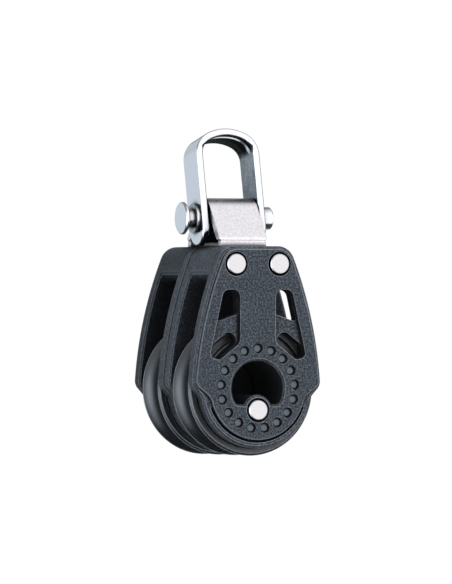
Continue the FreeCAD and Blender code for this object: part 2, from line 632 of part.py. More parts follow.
def plate(name, thickness, y, head=False, face=False, turned=False, through=False):
    """One plate of the block, moulded in one with its half hub and, where it has one, its head.

    The body's own frame has the bay on +Y, the outer side on -Y and the sheave axis at its origin.
    """
    body = new_body(name)
    outer = thickness
    if face:
        outer = f"({thickness} + dims.face_height)"
        raised = new_sketch(body, f"{name}_face_sketch")
        plate_outline(raised, "dims.face_inset", FACE_FOOT)
        extrude(body, "Pad", "face", raised, outer)
        round_outline(body, "face", "dims.face_inset", FACE_FOOT)
        dress(body, "Chamfer", "face_bevel", rim_edges(body, -value_of(outer)), "dims.face_bevel")
    base = new_sketch(body, f"{name}_outline_sketch", offset=f"-{BAY}" if head else None)
    if head:
        wide = f"({WAIST} + 1)"
        rectangle(base, f"-{wide}", wide, f"(-{FOOT} - 1)", HEAD_TOP)
        extrude(body, "Pad", "block", base, f"{thickness} + {BAY}")
        rope_channel(body)
        root = pick_edges(body, lambda edge: lies_in(edge, Y_AXIS, 0) and is_head_edge(edge))
        dress(body, "Fillet", "root", root, "dims.root_fillet")
        trim = new_sketch(body, f"{name}_trim_sketch", offset=f"-{BAY} - 1")
        plate_outline(trim, "0", FOOT)
        wide = f"({WAIST} + 3)"
        rectangle(trim, f"-{wide}", wide, f"(-{FOOT} - 3)", f"({HEAD_TOP} + 3)")
        extrude(body, "Pocket", "trim", trim, f"{thickness} + {BAY} + 1", reverse=True)
    else:
        plate_outline(base, "0", FOOT)
        extrude(body, "Pad", "plate", base, thickness)
    round_outline(body, "outline", "0", FOOT)
    dress(body, "Chamfer", "outer_bevel", rim_edges(body, -value_of(thickness)), "dims.edge_bevel")
    rope_side = [edge for edge in rim_edges(body, 0)
                 if not (head and is_head_edge(body.Tip.Shape.getElement(edge)))]
    dress(body, "Chamfer", "rope_bevel", rope_side, "dims.rope_bevel")
    half_hub(body)
    hub_hole(body, outer)
    if head:
        strap_slot(body)
    rivet_holes(body, outer, f"{outer} + {BAY} + 1")
    if face:
        rivet_seats(body, outer)
        windows(body, outer, through)
        foot_groove(body, outer)
        dimples(body, outer)
    place(body, y=f"{PIN_Y} + {y}", z=AXIS_Z, turn=(Z_AXIS, "180") if turned else None)
    return body


def is_head_edge(edge):
    """Whether an edge in the plate's inner face belongs to the underside of the head."""
    low = value_of(f"{CHANNEL_TOP} - 2 * dims.root_fillet")
    return edge.CenterOfMass.z > low


def sheave(name, y):
    """A sheave: rope groove, bevelled rims, recessed sides and the outer race in its bore."""
    body = new_body(name)
    sketch = new_sketch(body, f"{name}_sketch", plane="YZ_Plane")
    side = "(dims.sheave_width / 2)"
    rim = "(dims.sheave_diameter / 2)"
    crest = f"({side} - dims.rim_round)"
    floor = f"({side} - dims.web_depth)"
    ring = f"({BORE} + dims.web_ring)"
    band = f"({ring} + dims.web_band)"
    race_y = f"sqrt(pow({RACE}; 2) - pow(dims.race_lip; 2))"
    groove = f"((pow({crest}; 2) + pow(dims.rope_groove_depth; 2)) / (2 * dims.rope_groove_depth))"
    right = [
        (side, BORE, "xy"),
        (side, ring, "xy"),
        (floor, f"({ring} + dims.web_slope)", "xy"),
        (floor, f"({band} - dims.web_slope)", "xy"),
        (side, band, "xy"),
        (side, f"({rim} - dims.rim_round)", "xy"),
        (crest, rim, "xy"),
    ]
    left = [(f"-{y_}", z_, held) for y_, z_, held in reversed(right)]
    points = right + left + [(f"-{race_y}", BORE, "y"), (race_y, BORE, "y")]
    arcs = {
        6: {"radius": groove, "clockwise": True},
        14: {"centre": ("0", BALL_CIRCLE), "radius": RACE, "clockwise": True},
    }
    add_outline(sketch, points, arcs)
    turn_profile(body, "Revolution", "turned", sketch)
    place(body, y=f"{PIN_Y} + {y}", z=AXIS_Z)
    return body


def ball(name, number, y):
    """One bearing ball at its place on the ball circle, counted from the top."""
    sphere = doc.addObject("Part::Sphere", name)
    sphere.Label = name
    sphere.setExpression("Radius", BALL)
    angle = f"({number} * 360 / dims.ball_count)"
    x = f"{BALL_CIRCLE} * sin({angle})"
    z = f"{AXIS_Z} + {BALL_CIRCLE} * cos({angle})"
    place(sphere, x=x, y=f"{PIN_Y} + {y}", z=z)
    return sphere


def rivet(name, x, z):
    """A rivet through the whole block: shank and two flat heads in their seats."""
    body = new_body(name)
    sketch = new_sketch(body, f"{name}_sketch", plane="YZ_Plane")
    end = f"({OUTER_FACE} + dims.rivet_proud)"
    under = f"({OUTER_FACE} - dims.rivet_sink)"
    shank = "(dims.rivet_shank / 2)"
    head = "(dims.rivet_head / 2)"
    right = [
        (end, "0", "xy"),
        (end, f"({head} - dims.rivet_edge)", "xy"),
        (f"({end} - dims.rivet_edge)", head, "xy"),
        (under, head, "xy"),
        (under, shank, "xy"),
    ]
    left = [(f"-{y_}", z_, held) for y_, z_, held in reversed(right)]
    add_outline(sketch, right + left)
    turn_profile(body, "Revolution", "turned", sketch)
    place(body, x=x, y=PIN_Y, z=f"{AXIS_Z} + ({z})")
    return body


def head_strap():
    """Sheet bent to an inverted V and rolled over the pin, its legs notched for the head rivets.

    The roll hangs on the top of the pin, so its centre lies a little below the pin's axis. The body's own
    frame starts at the roll's centre.
    """
    body = new_body("head_strap")
    sketch = new_sketch(body, "head_strap_sketch", plane="YZ_Plane")
    thick = "dims.strap_thickness"
    inner = "(dims.pin_diameter / 2 + dims.strap_slack)"
    outer = f"({inner} + {thick})"
    leg = f"({BAY_CENTRE} + {thick} / 2)"
    bend_z = f"({HEAD_TOP} + dims.strap_bend - {ROLL_HEIGHT})"
    foot_z = f"({STRAP_FOOT} - {ROLL_HEIGHT})"
    reach = f"sqrt(pow({leg}; 2) + pow({bend_z}; 2))"
    # The sheet leaves the roll where its normal stands at this angle above the horizontal.
    normal = f"(acos({outer} / {reach}) + atan({bend_z} / {leg}))"
    outer_y = f"({outer} * cos({normal}))"
    outer_z = f"({outer} * sin({normal}))"
    inner_y = f"({inner} * cos({normal}))"
    inner_z = f"({inner} * sin({normal}))"
    fold = f"({thick} * tan({normal} / 2))"
    bend_inner_z = f"({bend_z} - {fold})"
    leg_inner = f"({leg} - {thick})"
    points = [
        (leg, foot_z, "xy"),
        (leg, bend_z, "xy"),
        (outer_y, outer_z, "xy"),
        (f"-{outer_y}", outer_z, "xy"),
        (f"-{leg}", bend_z, "xy"),
        (f"-{leg}", foot_z, "xy"),
        (f"-{leg_inner}", foot_z, "xy"),
        (f"-{leg_inner}", bend_inner_z, "xy"),
        (f"-{inner_y}", inner_z, "xy"),
        (inner_y, inner_z, "xy"),
        (leg_inner, bend_inner_z, "xy"),
        (leg_inner, foot_z, "xy"),
    ]
    arcs = {2: {"radius": outer}, 8: {"radius": inner, "clockwise": True}}
    add_outline(sketch, points, arcs)
    extrude(body, "Pad", "sheet", sketch, "dims.strap_width", symmetric=True)
    for part, y_, z_, radius in (
        ("bend_outside", leg, bend_z, f"(dims.strap_bend_radius + {thick})"),
        ("bend_inside", leg_inner, bend_inner_z, "dims.strap_bend_radius"),
    ):
        spots = [FreeCAD.Vector(0, side * value_of(y_), value_of(z_)) for side in (-1, 1)]
        edges = pick_edges(body, lambda edge: runs_along(edge, X_AXIS, spots))
        dress(body, "Fillet", part, edges, radius)
    notches = new_sketch(body, "head_strap_notch_sketch")
    for x, z in RIVETS[:2]:
        add_circle(notches, x, f"{z} - {ROLL_HEIGHT}", "dims.rivet_shank / 2 + dims.rivet_clearance")
    extrude(body, "Pocket", "notches", notches, f"2 * ({leg} + 1)", symmetric=True)
    sides = new_sketch(body, "head_strap_shoulder_sketch")
    half = "(dims.strap_width / 2 - dims.strap_shoulder)"
    wide = "(dims.strap_width / 2 + 1)"
    low = f"({foot_z} - 1)"
    rectangle(sides, half, wide, low, bend_z)
    mirror_cut(body, extrude(body, "Pocket", "shoulder", sides, f"2 * ({leg} + 1)", symmetric=True))
    place(body, y=PIN_Y, z=f"{PIN_Z} - {ROLL_DROP}")
    return body


def shackle():
    """Flat strip bent to a U, ears rounded and drilled for the pin.

    The body's own frame starts at the centre of the bow.
    """
    body = new_body("shackle")
    sketch = new_sketch(body, "shackle_sketch")
    inside = BOW_INSIDE
    outside = BOW_OUTSIDE
    low = "(-dims.bow_rise - dims.ear_length)"
    # The corners' centres, and where each corner runs into the crown.
    corner_x = f"({BOW_INSIDE} - dims.bow_corner)"
    centre_z = f"({BOW_INSIDE} - dims.bow_crown)"
    reach = "(dims.bow_crown - dims.bow_corner)"
    corner_z = f"({centre_z} + sqrt(pow({reach}; 2) - pow({corner_x}; 2)))"
    inner_x = f"({corner_x} * dims.bow_crown / {reach})"
    outer_x = f"({corner_x} * (dims.bow_crown + dims.strip_thickness) / {reach})"
    inner_z = f"({centre_z} + ({corner_z} - {centre_z}) * dims.bow_crown / {reach})"
    outer_z = f"({centre_z} + ({corner_z} - {centre_z}) * (dims.bow_crown + dims.strip_thickness) / {reach})"
    points = [
        (outside, corner_z, "xy"),
        (outer_x, outer_z, "x"),
        (f"-{outer_x}", outer_z, "x"),
        (f"-{outside}", corner_z, "y"),
        (f"-{outside}", low, "xy"),
        (f"-{inside}", low, "xy"),
        (f"-{inside}", corner_z, "xy"),
        (f"-{inner_x}", inner_z, "x"),
        (inner_x, inner_z, "x"),
        (inside, corner_z, "y"),
        (inside, low, "xy"),
        (outside, low, "xy"),
    ]
    arcs = {
        0: {"centre": (corner_x, corner_z)},
        1: {"centre": ("0", centre_z)},
        2: {"centre": (f"-{corner_x}", corner_z)},
        6: {"centre": (f"-{corner_x}", corner_z), "clockwise": True},
        7: {"centre": ("0", centre_z), "clockwise": True},
        8: {"centre": (corner_x, corner_z), "clockwise": True},
    }
    add_outline(sketch, points, arcs)
    extrude(body, "Pad", "strip", sketch, "dims.strip_width", symmetric=True)
    half = value_of("dims.strip_width") / 2
    spots = [FreeCAD.Vector(0, side * half, value_of(low)) for side in (-1, 1)]
    ears = pick_edges(body, lambda edge: runs_along(edge, X_AXIS, spots))
    dress(body, "Fillet", "ears", ears, "dims.ear_round")
    long_edges = pick_edges(body, lambda edge: is_strip_edge(edge, value_of(low)))
    dress(body, "Chamfer", "strip_edges", long_edges, "dims.strip_edge")
    hole = new_sketch(body, "shackle_hole_sketch", plane="YZ_Plane")
    add_circle(hole, "0", "-dims.bow_rise", "dims.pin_diameter / 2 + dims.pin_fit")
    extrude(body, "Pocket", "pin_holes", hole, f"2 * {outside} + 2", symmetric=True)
    place(body, turn=(X_AXIS * -1, "dims.lean"))
    return body


def is_strip_edge(edge, low):
    """Whether an edge is one of the strip's long edges or goes round the end of an ear."""
    if edge.Curve.TypeId != "Part::GeomLine":
        return True
    direction = edge.Curve.Direction
    seam = abs(abs(direction.y) - 1) < SMALL and edge.CenterOfMass.z > low + 0.01
    return not seam and abs(abs(direction.x) - 1) > SMALL


def shackle_pin():
    """Turned pin: disc head, neck and collar on the left, shank, and a tail with two flats on the right."""
    body = new_body("shackle_pin")
    sketch = new_sketch(body, "shackle_pin_sketch")
    ear = BOW_OUTSIDE
    collar = f"({ear} + dims.pin_collar_length)"
    neck = f"({collar} + dims.pin_neck_length)"
    head = f"({neck} + dims.pin_head_thickness)"
    tail = f"({ear} + dims.pin_tail_length)"
    edge_ = "dims.pin_edge"
    steps = [
        (tail, "0"),
        (tail, f"(dims.pin_tail / 2 - {edge_})"),
        (f"({tail} - {edge_})", "(dims.pin_tail / 2)"),
        (ear, "(dims.pin_tail / 2)"),
        (ear, "(dims.pin_diameter / 2)"),
        (f"-{ear}", "(dims.pin_diameter / 2)"),
        (f"-{ear}", "(dims.pin_collar / 2)"),
        (f"-{collar}", "(dims.pin_collar / 2)"),
        (f"-{collar}", "(dims.pin_neck / 2)"),
        (f"-{neck}", "(dims.pin_neck / 2)"),
        (f"-{neck}", f"(dims.pin_head / 2 - {edge_})"),
        (f"(-{neck} - {edge_})", "(dims.pin_head / 2)"),
        (f"(-{head} + {edge_})", "(dims.pin_head / 2)"),
        (f"-{head}", f"(dims.pin_head / 2 - {edge_})"),
        (f"-{head}", "0"),
    ]
    add_outline(sketch, [(x, z, "xy") for x, z in steps])
    turn_profile(body, "Revolution", "turned", sketch)
    for side, name in (("-", "front_flat"), ("", "rear_flat")):
        flat = new_sketch(body, f"shackle_pin_{name}_sketch", plane="XY_Plane")
        near = f"({side}dims.pin_flats / 2)"
        far = f"({side}dims.pin_tail)"
        start = f"({ear} + dims.pin_edge)"
        stop = f"({tail} + 1)"
        corners = [(start, near), (stop, near), (stop, far), (start, far)]
        add_outline(flat, [(x, y, "xy") for x, y in corners])
        extrude(body, "Pocket", name, flat, "2 * dims.pin_tail", symmetric=True)
    place(body, y=PIN_Y, z=PIN_Z)
    return body


def build():
    """Every piece of the block, by node name."""
    fill_sheet()
    front_bay = f"-{BAY_CENTRE}"
    rear_bay = BAY_CENTRE
    outer_plate = f"({PAIR} / 2 + {BAY})"
    cheek = "dims.cheek_thickness"
    pieces = [
        shackle(),
        shackle_pin(),
        head_strap(),
        plate("front_cheek", cheek, f"-{outer_plate}", face=True, through=True),
        plate("rear_cheek", cheek, outer_plate, head=True, face=True, turned=True),
        plate("centre_plate_rear", "dims.cover_thickness", f"{PAIR} / 2"),
        plate("centre_plate_front", "dims.back_thickness", f"-{PAIR} / 2", head=True, turned=True),
        sheave("front_sheave", front_bay),
        sheave("rear_sheave", rear_bay),
    ]
    names = ("head_rivet_left", "head_rivet_right", "hub_rivet")
    pieces += [rivet(name, x, z) for name, (x, z) in zip(names, RIVETS)]
    for bay, y in (("front", front_bay), ("rear", rear_bay)):
        for number in range(round(value_of("dims.ball_count"))):
            pieces.append(ball(f"{bay}_ball_{number + 1:02d}", number, y))
    return pieces


def export(pieces):
    """Check every object of the document, then write one file for each piece."""
    doc.recompute()
    for item in doc.Objects:
        if "Invalid" in item.State or "Error" in item.State:
            raise RuntimeError(f"{item.Label} failed to build")
    for piece in pieces:
        if piece.Shape.isNull() or not piece.Shape.isValid():
            raise RuntimeError(f"{piece.Label} has no valid shape")
    os.makedirs("parts", exist_ok=True)
    for piece in pieces:
        piece.Shape.exportStep(f"parts/{piece.Label}.step")


export(build())
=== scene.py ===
"""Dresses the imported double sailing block: finishes, rows of balls, studio and camera."""

import logging
import math
from dataclasses import dataclass, replace
from enum import Enum

import bpy
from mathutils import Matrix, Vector

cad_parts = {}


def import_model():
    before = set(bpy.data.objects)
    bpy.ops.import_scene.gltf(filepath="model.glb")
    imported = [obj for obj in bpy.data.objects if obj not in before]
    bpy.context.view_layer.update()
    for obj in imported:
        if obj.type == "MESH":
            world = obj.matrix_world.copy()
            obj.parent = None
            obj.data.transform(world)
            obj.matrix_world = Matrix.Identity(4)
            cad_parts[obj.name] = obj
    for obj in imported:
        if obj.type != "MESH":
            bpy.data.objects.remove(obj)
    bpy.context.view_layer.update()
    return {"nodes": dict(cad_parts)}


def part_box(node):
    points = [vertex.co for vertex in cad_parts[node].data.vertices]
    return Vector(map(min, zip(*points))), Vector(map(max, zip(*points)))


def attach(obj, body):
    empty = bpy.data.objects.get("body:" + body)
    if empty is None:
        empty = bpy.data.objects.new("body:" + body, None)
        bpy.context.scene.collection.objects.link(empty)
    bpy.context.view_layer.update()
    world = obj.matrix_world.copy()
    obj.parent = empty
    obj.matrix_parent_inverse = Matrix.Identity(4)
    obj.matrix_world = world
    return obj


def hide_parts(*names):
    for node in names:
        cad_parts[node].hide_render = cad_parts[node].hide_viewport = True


LOG = logging.getLogger("double_block")
MM = 0.001
NODE_SPACING = 190.0
ORIGIN = Vector((0.0, 0.0, 0.0))
UP = Vector((0.0, 0.0, 1.0))

Socket = bpy.types.NodeSocket
Feed = Socket | float | tuple[float, ...]
Colour = tuple[float, float, float]
BLACK: Colour = (0.0, 0.0, 0.0)
WHITE: Colour = (1.0, 1.0, 1.0)


class Axis(Enum):
    """The axis that marks run round or along, as the turn that makes it Z."""

    X = (0.0, -math.pi / 2, 0.0)
    Y = (math.pi / 2, 0.0, 0.0)
    Z = (0.0, 0.0, 0.0)


class Channel(Enum):
    """Kinds of socket that a node group can have."""

    NUMBER = "NodeSocketFloat"
    COUNT = "NodeSocketInt"
    VECTOR = "NodeSocketVector"
    MATERIAL = "NodeSocketMaterial"
    GEOMETRY = "NodeSocketGeometry"


def opaque(colour: Colour) -> tuple[float, float, float, float]:
    """The colour with full alpha."""
    return (*colour, 1.0)


class NodeSheet:
    """A node tree with short ways to add nodes and to wire them."""

    def __init__(self, tree: bpy.types.NodeTree) -> None:
        """Take over a tree.

        Args:
            tree: the tree to add nodes to.
        """
        self.tree = tree
        self.column = 0

    def add(self, kind: str, feeds: dict[str | int, Feed] | None = None,
            **settings: object) -> bpy.types.Node:
        """Add a node, set its properties and feed its inputs.

        Args:
            kind: the node's Blender type.
            feeds: what goes into its inputs, by their name or number.
            settings: properties of the node by name.

        Returns:
            The new node.
        """
        node = self.tree.nodes.new(kind)
        node.location = (self.column * NODE_SPACING, 0.0)
        self.column += 1
        for name, value in settings.items():
            setattr(node, name, value)
        for label, source in (feeds or {}).items():
            self.feed(source, node.inputs[label])
        return node

    def feed(self, source: Feed, target: Socket) -> None:
        """Wire a socket to another, or set a plain value on it.

        Args:
            source: an output socket, or a number, vector or colour.
            target: the input socket.
        """
        if isinstance(source, Socket):
            self.tree.links.new(source, target)
        else:
            target.default_value = source

    def math(self, operation: str, first: Feed, second: Feed = 0.0, clamp: bool = False) -> Socket:
        """Add one step of arithmetic.

        Args:
            operation: Blender's name of the operation.
            first: socket or number.
            second: socket or number.
            clamp: whether the result is held between 0 and 1.

        Returns:
            The output socket.
        """
        feeds = {0: first, 1: second}
        return self.add("ShaderNodeMath", feeds, operation=operation, use_clamp=clamp).outputs[0]

    def weigh(self, first: Feed, first_share: float, second: Feed, second_share: float,
              clamp: bool = False) -> Socket:
        """Add two values, each times its share.

        Args:
            first: socket or number.
            first_share: share of the first.
            second: socket or number.
            second_share: share of the second.
            clamp: whether the result is held between 0 and 1.

        Returns:
            The output socket.
        """
        parts = [self.math("MULTIPLY", value, share)
                 for value, share in ((first, first_share), (second, second_share))]
        return self.math("ADD", *parts, clamp)

    def length(self, first: Feed, second: Feed) -> Socket:
        """The length of the diagonal over two sides."""
        squares = [self.math("MULTIPLY", side, side) for side in (first, second)]
        return self.math("SQRT", self.math("ADD", *squares))

    def split(self, place: Feed) -> tuple[Socket, Socket, Socket]:
        """The three parts of a place."""
        return tuple(self.add("ShaderNodeSeparateXYZ", {0: place}).outputs)

    def facing(self, first: Feed, second: Feed) -> Socket:
        """The cosine between two directions."""
        feeds = {0: first, 1: second}
        return self.add("ShaderNodeVectorMath", feeds, operation="DOT_PRODUCT").outputs["Value"]

    def near(self, value: Feed, middle: float, margin: float) -> Socket:
        """Tell where a value lies close to another.

        Args:
            value: socket to look at.
            middle: the value that it is held against.
            margin: how far it may be off.

        Returns:
            A socket that is 1 where it is close and 0 elsewhere.
        """
        feeds = {0: value, 1: middle, 2: margin}
        return self.add("ShaderNodeMath", feeds, operation="COMPARE").outputs[0]

    def span(self, value: Feed, low: float, high: float, start: Feed = 0.0,
             end: Feed = 1.0) -> Socket:
        """Map a range of values to another one, held at its ends.

        Args:
            value: socket to map.
            low: value that gives start.
            high: value that gives end.
            start: result at low.
            end: result at high.

        Returns:
            The output socket.
        """
        feeds = dict(enumerate((value, low, high, start, end)))
        return self.add("ShaderNodeMapRange", feeds, clamp=True).outputs[0]

    def dulled(self, roughness: Feed, opened: Feed) -> Socket:
        """Raise a roughness towards 1 in hollows, where a gloss would not be seen.

        Args:
            roughness: socket with the roughness in the open.
            opened: socket that is 1 in the open and 0 in a hollow.

        Returns:
            The roughness to use.
        """
        kept = self.math("MULTIPLY", self.math("SUBTRACT", 1.0, roughness), opened)
        return self.math("SUBTRACT", 1.0, kept, True)

    def noise(self, place: Feed, scale: Feed, detail: float, roughness: float) -> Socket:
        """Add a noise.

        Args:
            place: socket with the coordinates.
            scale: number of the noise's cells per metre.
            detail: number of finer layers.
            roughness: strength of the finer layers.

        Returns:
            The noise's value.
        """
        feeds = {"Vector": place, "Scale": scale, "Detail": detail, "Roughness": roughness}
        return self.add("ShaderNodeTexNoise", feeds).outputs["Fac"]

    def blend(self, share: Feed, first: Socket | Colour, second: Socket | Colour) -> Socket:
        """Mix two colours.

        Args:
            share: socket or number, 0 for the first colour.
            first: colour or socket.
            second: colour or socket.

        Returns:
            The mixed colour.
        """
        feeds = {0: share}
        for number, colour in ((6, first), (7, second)):
            feeds[number] = colour if isinstance(colour, Socket) else opaque(colour)
        return self.add("ShaderNodeMix", feeds, data_type="RGBA").outputs[2]

    def bend(self, share: Feed, first: Feed, second: Feed) -> Socket:
        """Mix two normals, all first at a share of 0."""
        feeds = {0: share, 4: first, 5: second}
        return self.add("ShaderNodeMix", feeds, data_type="VECTOR").outputs[1]

    def place(self, centre: Vector = ORIGIN, axis: Axis = Axis.Z) -> Socket:
        """Object coordinates, moved to a centre and turned so that the axis becomes Z.

        Args:
            centre: point that becomes the origin, in metres.
            axis: axis that becomes Z.

        Returns:
            The coordinates.
        """
        here = self.add("ShaderNodeTexCoord").outputs["Object"]
        moved = self.add("ShaderNodeVectorMath", {0: here, 1: tuple(centre)}, operation="SUBTRACT")
        feeds = {"Vector": moved.outputs[0], "Rotation": axis.value}
        return self.add("ShaderNodeMapping", feeds, vector_type="POINT").outputs["Vector"]

    def use(self, group: bpy.types.NodeTree, **values: Feed) -> bpy.types.Node:
        """Place a shader group and feed its inputs by name."""
        return self.add("ShaderNodeGroup", values, node_tree=group)

    def bump(self, height: Feed, depth: float, normal: Feed | None = None) -> Socket:
        """Turn a height of 0 to 1 into a normal.

        Args:
            height: socket with the height.
            depth: what a height of 1 means, in metres.
            normal: socket with the normal underneath.

        Returns:
            The bumped normal.
        """
        feeds = {"Strength": 1.0, "Distance": depth, "Height": height}
        if normal is not None:
            feeds["Normal"] = normal
        return self.add("ShaderNodeBump", feeds).outputs["Normal"]


def new_group(name: str, kind: str, takes: dict[str, tuple[Channel, object]],
              gives: dict[str, Channel]) -> tuple[NodeSheet, bpy.types.Node, bpy.types.Node]:
    """Start a node group with named inputs and outputs.

    Args:
        name: name of the group.
        kind: Blender's type of tree.
        takes: input name to its channel and default value, None for no default.
        gives: output name to its channel.

    Returns:
        The sheet, its group input and its group output.
    """
    tree = bpy.data.node_groups.new(name, kind)
    for label, (channel, value) in takes.items():
        socket = tree.interface.new_socket(
            name=label, in_out="INPUT", socket_type=channel.value)
        if value is not None:
            socket.default_value = value
    for label, channel in gives.items():
        tree.interface.new_socket(name=label, in_out="OUTPUT", socket_type=channel.value)
    sheet = NodeSheet(tree)
    return sheet, sheet.add("NodeGroupInput"), sheet.add("NodeGroupOutput")


class Effects:
    """Shader groups that more than one finish uses."""

    # Share of the fine noise in the grain's height, and of the specks in its tone.
    FINE_SHARE = 0.65
    SPECK_SHARE = 0.8
    # Scale of the grain's pits and of the specks of grain and sheet, against their finest marks.
    PIT_SCALE = 0.8
    SPECK_SCALE = 0.9
    # Noise at which a speck starts and where it is full, in grain and on a sheet.
    GRAIN_SPECKS = (0.43, 0.65)
    SHEET_SPECKS = (0.42, 0.66)
    # Share of the even rings in turning marks, and scale of the uneven ones against them.
    RING_SHARE = 0.25
    UNEVEN_SCALE = 0.4
    # Scale of a sheet's streaks along Z, where they are drawn out.
    STREAK_STRETCH = 0.04
    BEVEL_SAMPLES = 4
    HOLLOW_SAMPLES = 8
    # Openness that counts as closed and as open, in a hollow and in a crease.
    HOLLOW_RANGE = (0.45, 0.9)
    CREASE_RANGE = (0.58, 0.96)
    CREASE_FLOOR = 0.1

    def __init__(self) -> None:
        """Build each group once."""
        self.grain = self._grain()
        self.edges = self._edges()
        self.turning = self._turning()
        self.polish = self._polish()
        self.hollows = self._hollows()

    def _grain(self) -> bpy.types.NodeTree:
        """Spark-eroded mould grain: a height and a tone, both 0 to 1.

        Returns:
            The group.
        """
        takes = {
            "Place": (Channel.VECTOR, None),
            "Scale": (Channel.NUMBER, 2400.0),
            "Cloud": (Channel.NUMBER, 160.0),
        }
        gives = {"Height": Channel.NUMBER, "Tone": Channel.NUMBER}
        sheet, given, out = new_group("mould_grain", "ShaderNodeTree", takes, gives)
        place, scale = given.outputs["Place"], given.outputs["Scale"]
        fine = sheet.noise(place, scale, detail=2.0, roughness=0.6)
        feeds = {"Vector": place, "Scale": sheet.math("MULTIPLY", scale, self.PIT_SCALE)}
        pits = sheet.add("ShaderNodeTexVoronoi", feeds, feature="F1").outputs["Distance"]
        height = sheet.weigh(fine, self.FINE_SHARE, pits, 1.0 - self.FINE_SHARE)
        cloud = sheet.noise(place, given.outputs["Cloud"], detail=3.0, roughness=0.5)
        speck_scale = sheet.math("MULTIPLY", scale, self.SPECK_SCALE)
        mottle = sheet.noise(place, speck_scale, detail=2.0, roughness=0.7)
        specks = sheet.span(mottle, *self.GRAIN_SPECKS)
        tone = sheet.weigh(cloud, 1.0 - self.SPECK_SHARE, specks, self.SPECK_SHARE, True)
        sheet.feed(height, out.inputs["Height"])
        sheet.feed(tone, out.inputs["Tone"])
        return sheet.tree

    def _edges(self) -> bpy.types.NodeTree:
        """Where a surface turns a corner: a mask that is 1 on edges, and the softened normal.

        Returns:
            The group.
        """
        takes = {"Radius": (Channel.NUMBER, 0.0002), "Gain": (Channel.NUMBER, 6.0)}
        gives = {"Mask": Channel.NUMBER, "Normal": Channel.VECTOR}
        sheet, given, out = new_group("painted_edge_highlight", "ShaderNodeTree", takes, gives)
        feeds = {"Radius": given.outputs["Radius"]}
        soft = sheet.add("ShaderNodeBevel", feeds, samples=self.BEVEL_SAMPLES).outputs["Normal"]
        plain = sheet.add("ShaderNodeNewGeometry").outputs["Normal"]
        turned = sheet.math("SUBTRACT", 1.0, sheet.facing(soft, plain))
        mask = sheet.math("MULTIPLY", turned, given.outputs["Gain"], True)
        sheet.feed(mask, out.inputs["Mask"])
        sheet.feed(soft, out.inputs["Normal"])
        return sheet.tree

    def _hollows(self) -> bpy.types.NodeTree:
        """Where a surface lies in a hollow or a crease: 1 in the open, less inside.

        Returns:
            The group.
        """
        takes = {
            "Reach": (Channel.NUMBER, 0.012),
            "Floor": (Channel.NUMBER, 0.05),
            "Crease": (Channel.NUMBER, 0.0007),
        }
        sheet, given, out = new_group("hollow_shade", "ShaderNodeTree", takes,
                                      {"Open": Channel.NUMBER})
        kinds = (
            ("Reach", self.HOLLOW_RANGE, given.outputs["Floor"]),
            ("Crease", self.CREASE_RANGE, self.CREASE_FLOOR),
        )
        parts = []
        for label, limits, floor in kinds:
            feeds = {"Distance": given.outputs[label]}
            near = sheet.add("ShaderNodeAmbientOcclusion", feeds, samples=self.HOLLOW_SAMPLES)
            parts.append(sheet.span(near.outputs["AO"], *limits, floor))
        sheet.feed(sheet.math("MULTIPLY", *parts), out.inputs["Open"])
        return sheet.tree

    def _turning(self) -> bpy.types.NodeTree:
        """Fine rings left by a lathe or a mould insert, round the Z axis of the given place.

        Returns:
            The group.
        """
        takes = {"Place": (Channel.VECTOR, None), "Pitch": (Channel.NUMBER, 0.0002)}
        gives = {"Height": Channel.NUMBER, "Tone": Channel.NUMBER}
        sheet, given, out = new_group("turning_marks", "ShaderNodeTree", takes, gives)
        pitch = given.outputs["Pitch"]
        x, y, z = sheet.split(given.outputs["Place"])
        along = sheet.math("ADD", sheet.length(x, y), z)
        turns = sheet.math("DIVIDE", sheet.math("MULTIPLY", along, math.tau), pitch)
        rings = sheet.math("MULTIPLY", sheet.math("SINE", turns), self.RING_SHARE)
        row = sheet.add("ShaderNodeCombineXYZ", {0: along}).outputs[0]
        uneven_scale = sheet.math("DIVIDE", self.UNEVEN_SCALE, pitch)
        uneven = sheet.noise(row, uneven_scale, detail=2.0, roughness=0.6)
        sheet.feed(sheet.math("ADD", rings, uneven), out.inputs["Height"])
        sheet.feed(uneven, out.inputs["Tone"])
        return sheet.tree

    def _polish(self) -> bpy.types.NodeTree:
        """Marks of a polished or rolled sheet: slow waves, streaks along Z, and specks.

        Returns:
            The group.
        """
        takes = {
            "Place": (Channel.VECTOR, None),
            "Waves": (Channel.NUMBER, 220.0),
            "Streaks": (Channel.NUMBER, 2600.0),
        }
        gives = dict.fromkeys(("Waves", "Streaks", "Specks"), Channel.NUMBER)
        sheet, given, out = new_group("polish_marks", "ShaderNodeTree", takes, gives)
        place, fine = given.outputs["Place"], given.outputs["Streaks"]
        feeds = {"Vector": place, "Scale": (1.0, 1.0, self.STREAK_STRETCH)}
        drawn = sheet.add("ShaderNodeMapping", feeds).outputs["Vector"]
        waves = sheet.noise(place, given.outputs["Waves"], detail=2.0, roughness=0.5)
        streaks = sheet.noise(drawn, fine, detail=3.0, roughness=0.7)
        speck_scale = sheet.math("MULTIPLY", fine, self.SPECK_SCALE)
        mottle = sheet.noise(place, speck_scale, detail=2.0, roughness=0.6)
        specks = sheet.span(mottle, *self.SHEET_SPECKS)
        for label, marks in (("Waves", waves), ("Streaks", streaks), ("Specks", specks)):
            sheet.feed(marks, out.inputs[label])
        return sheet.tree


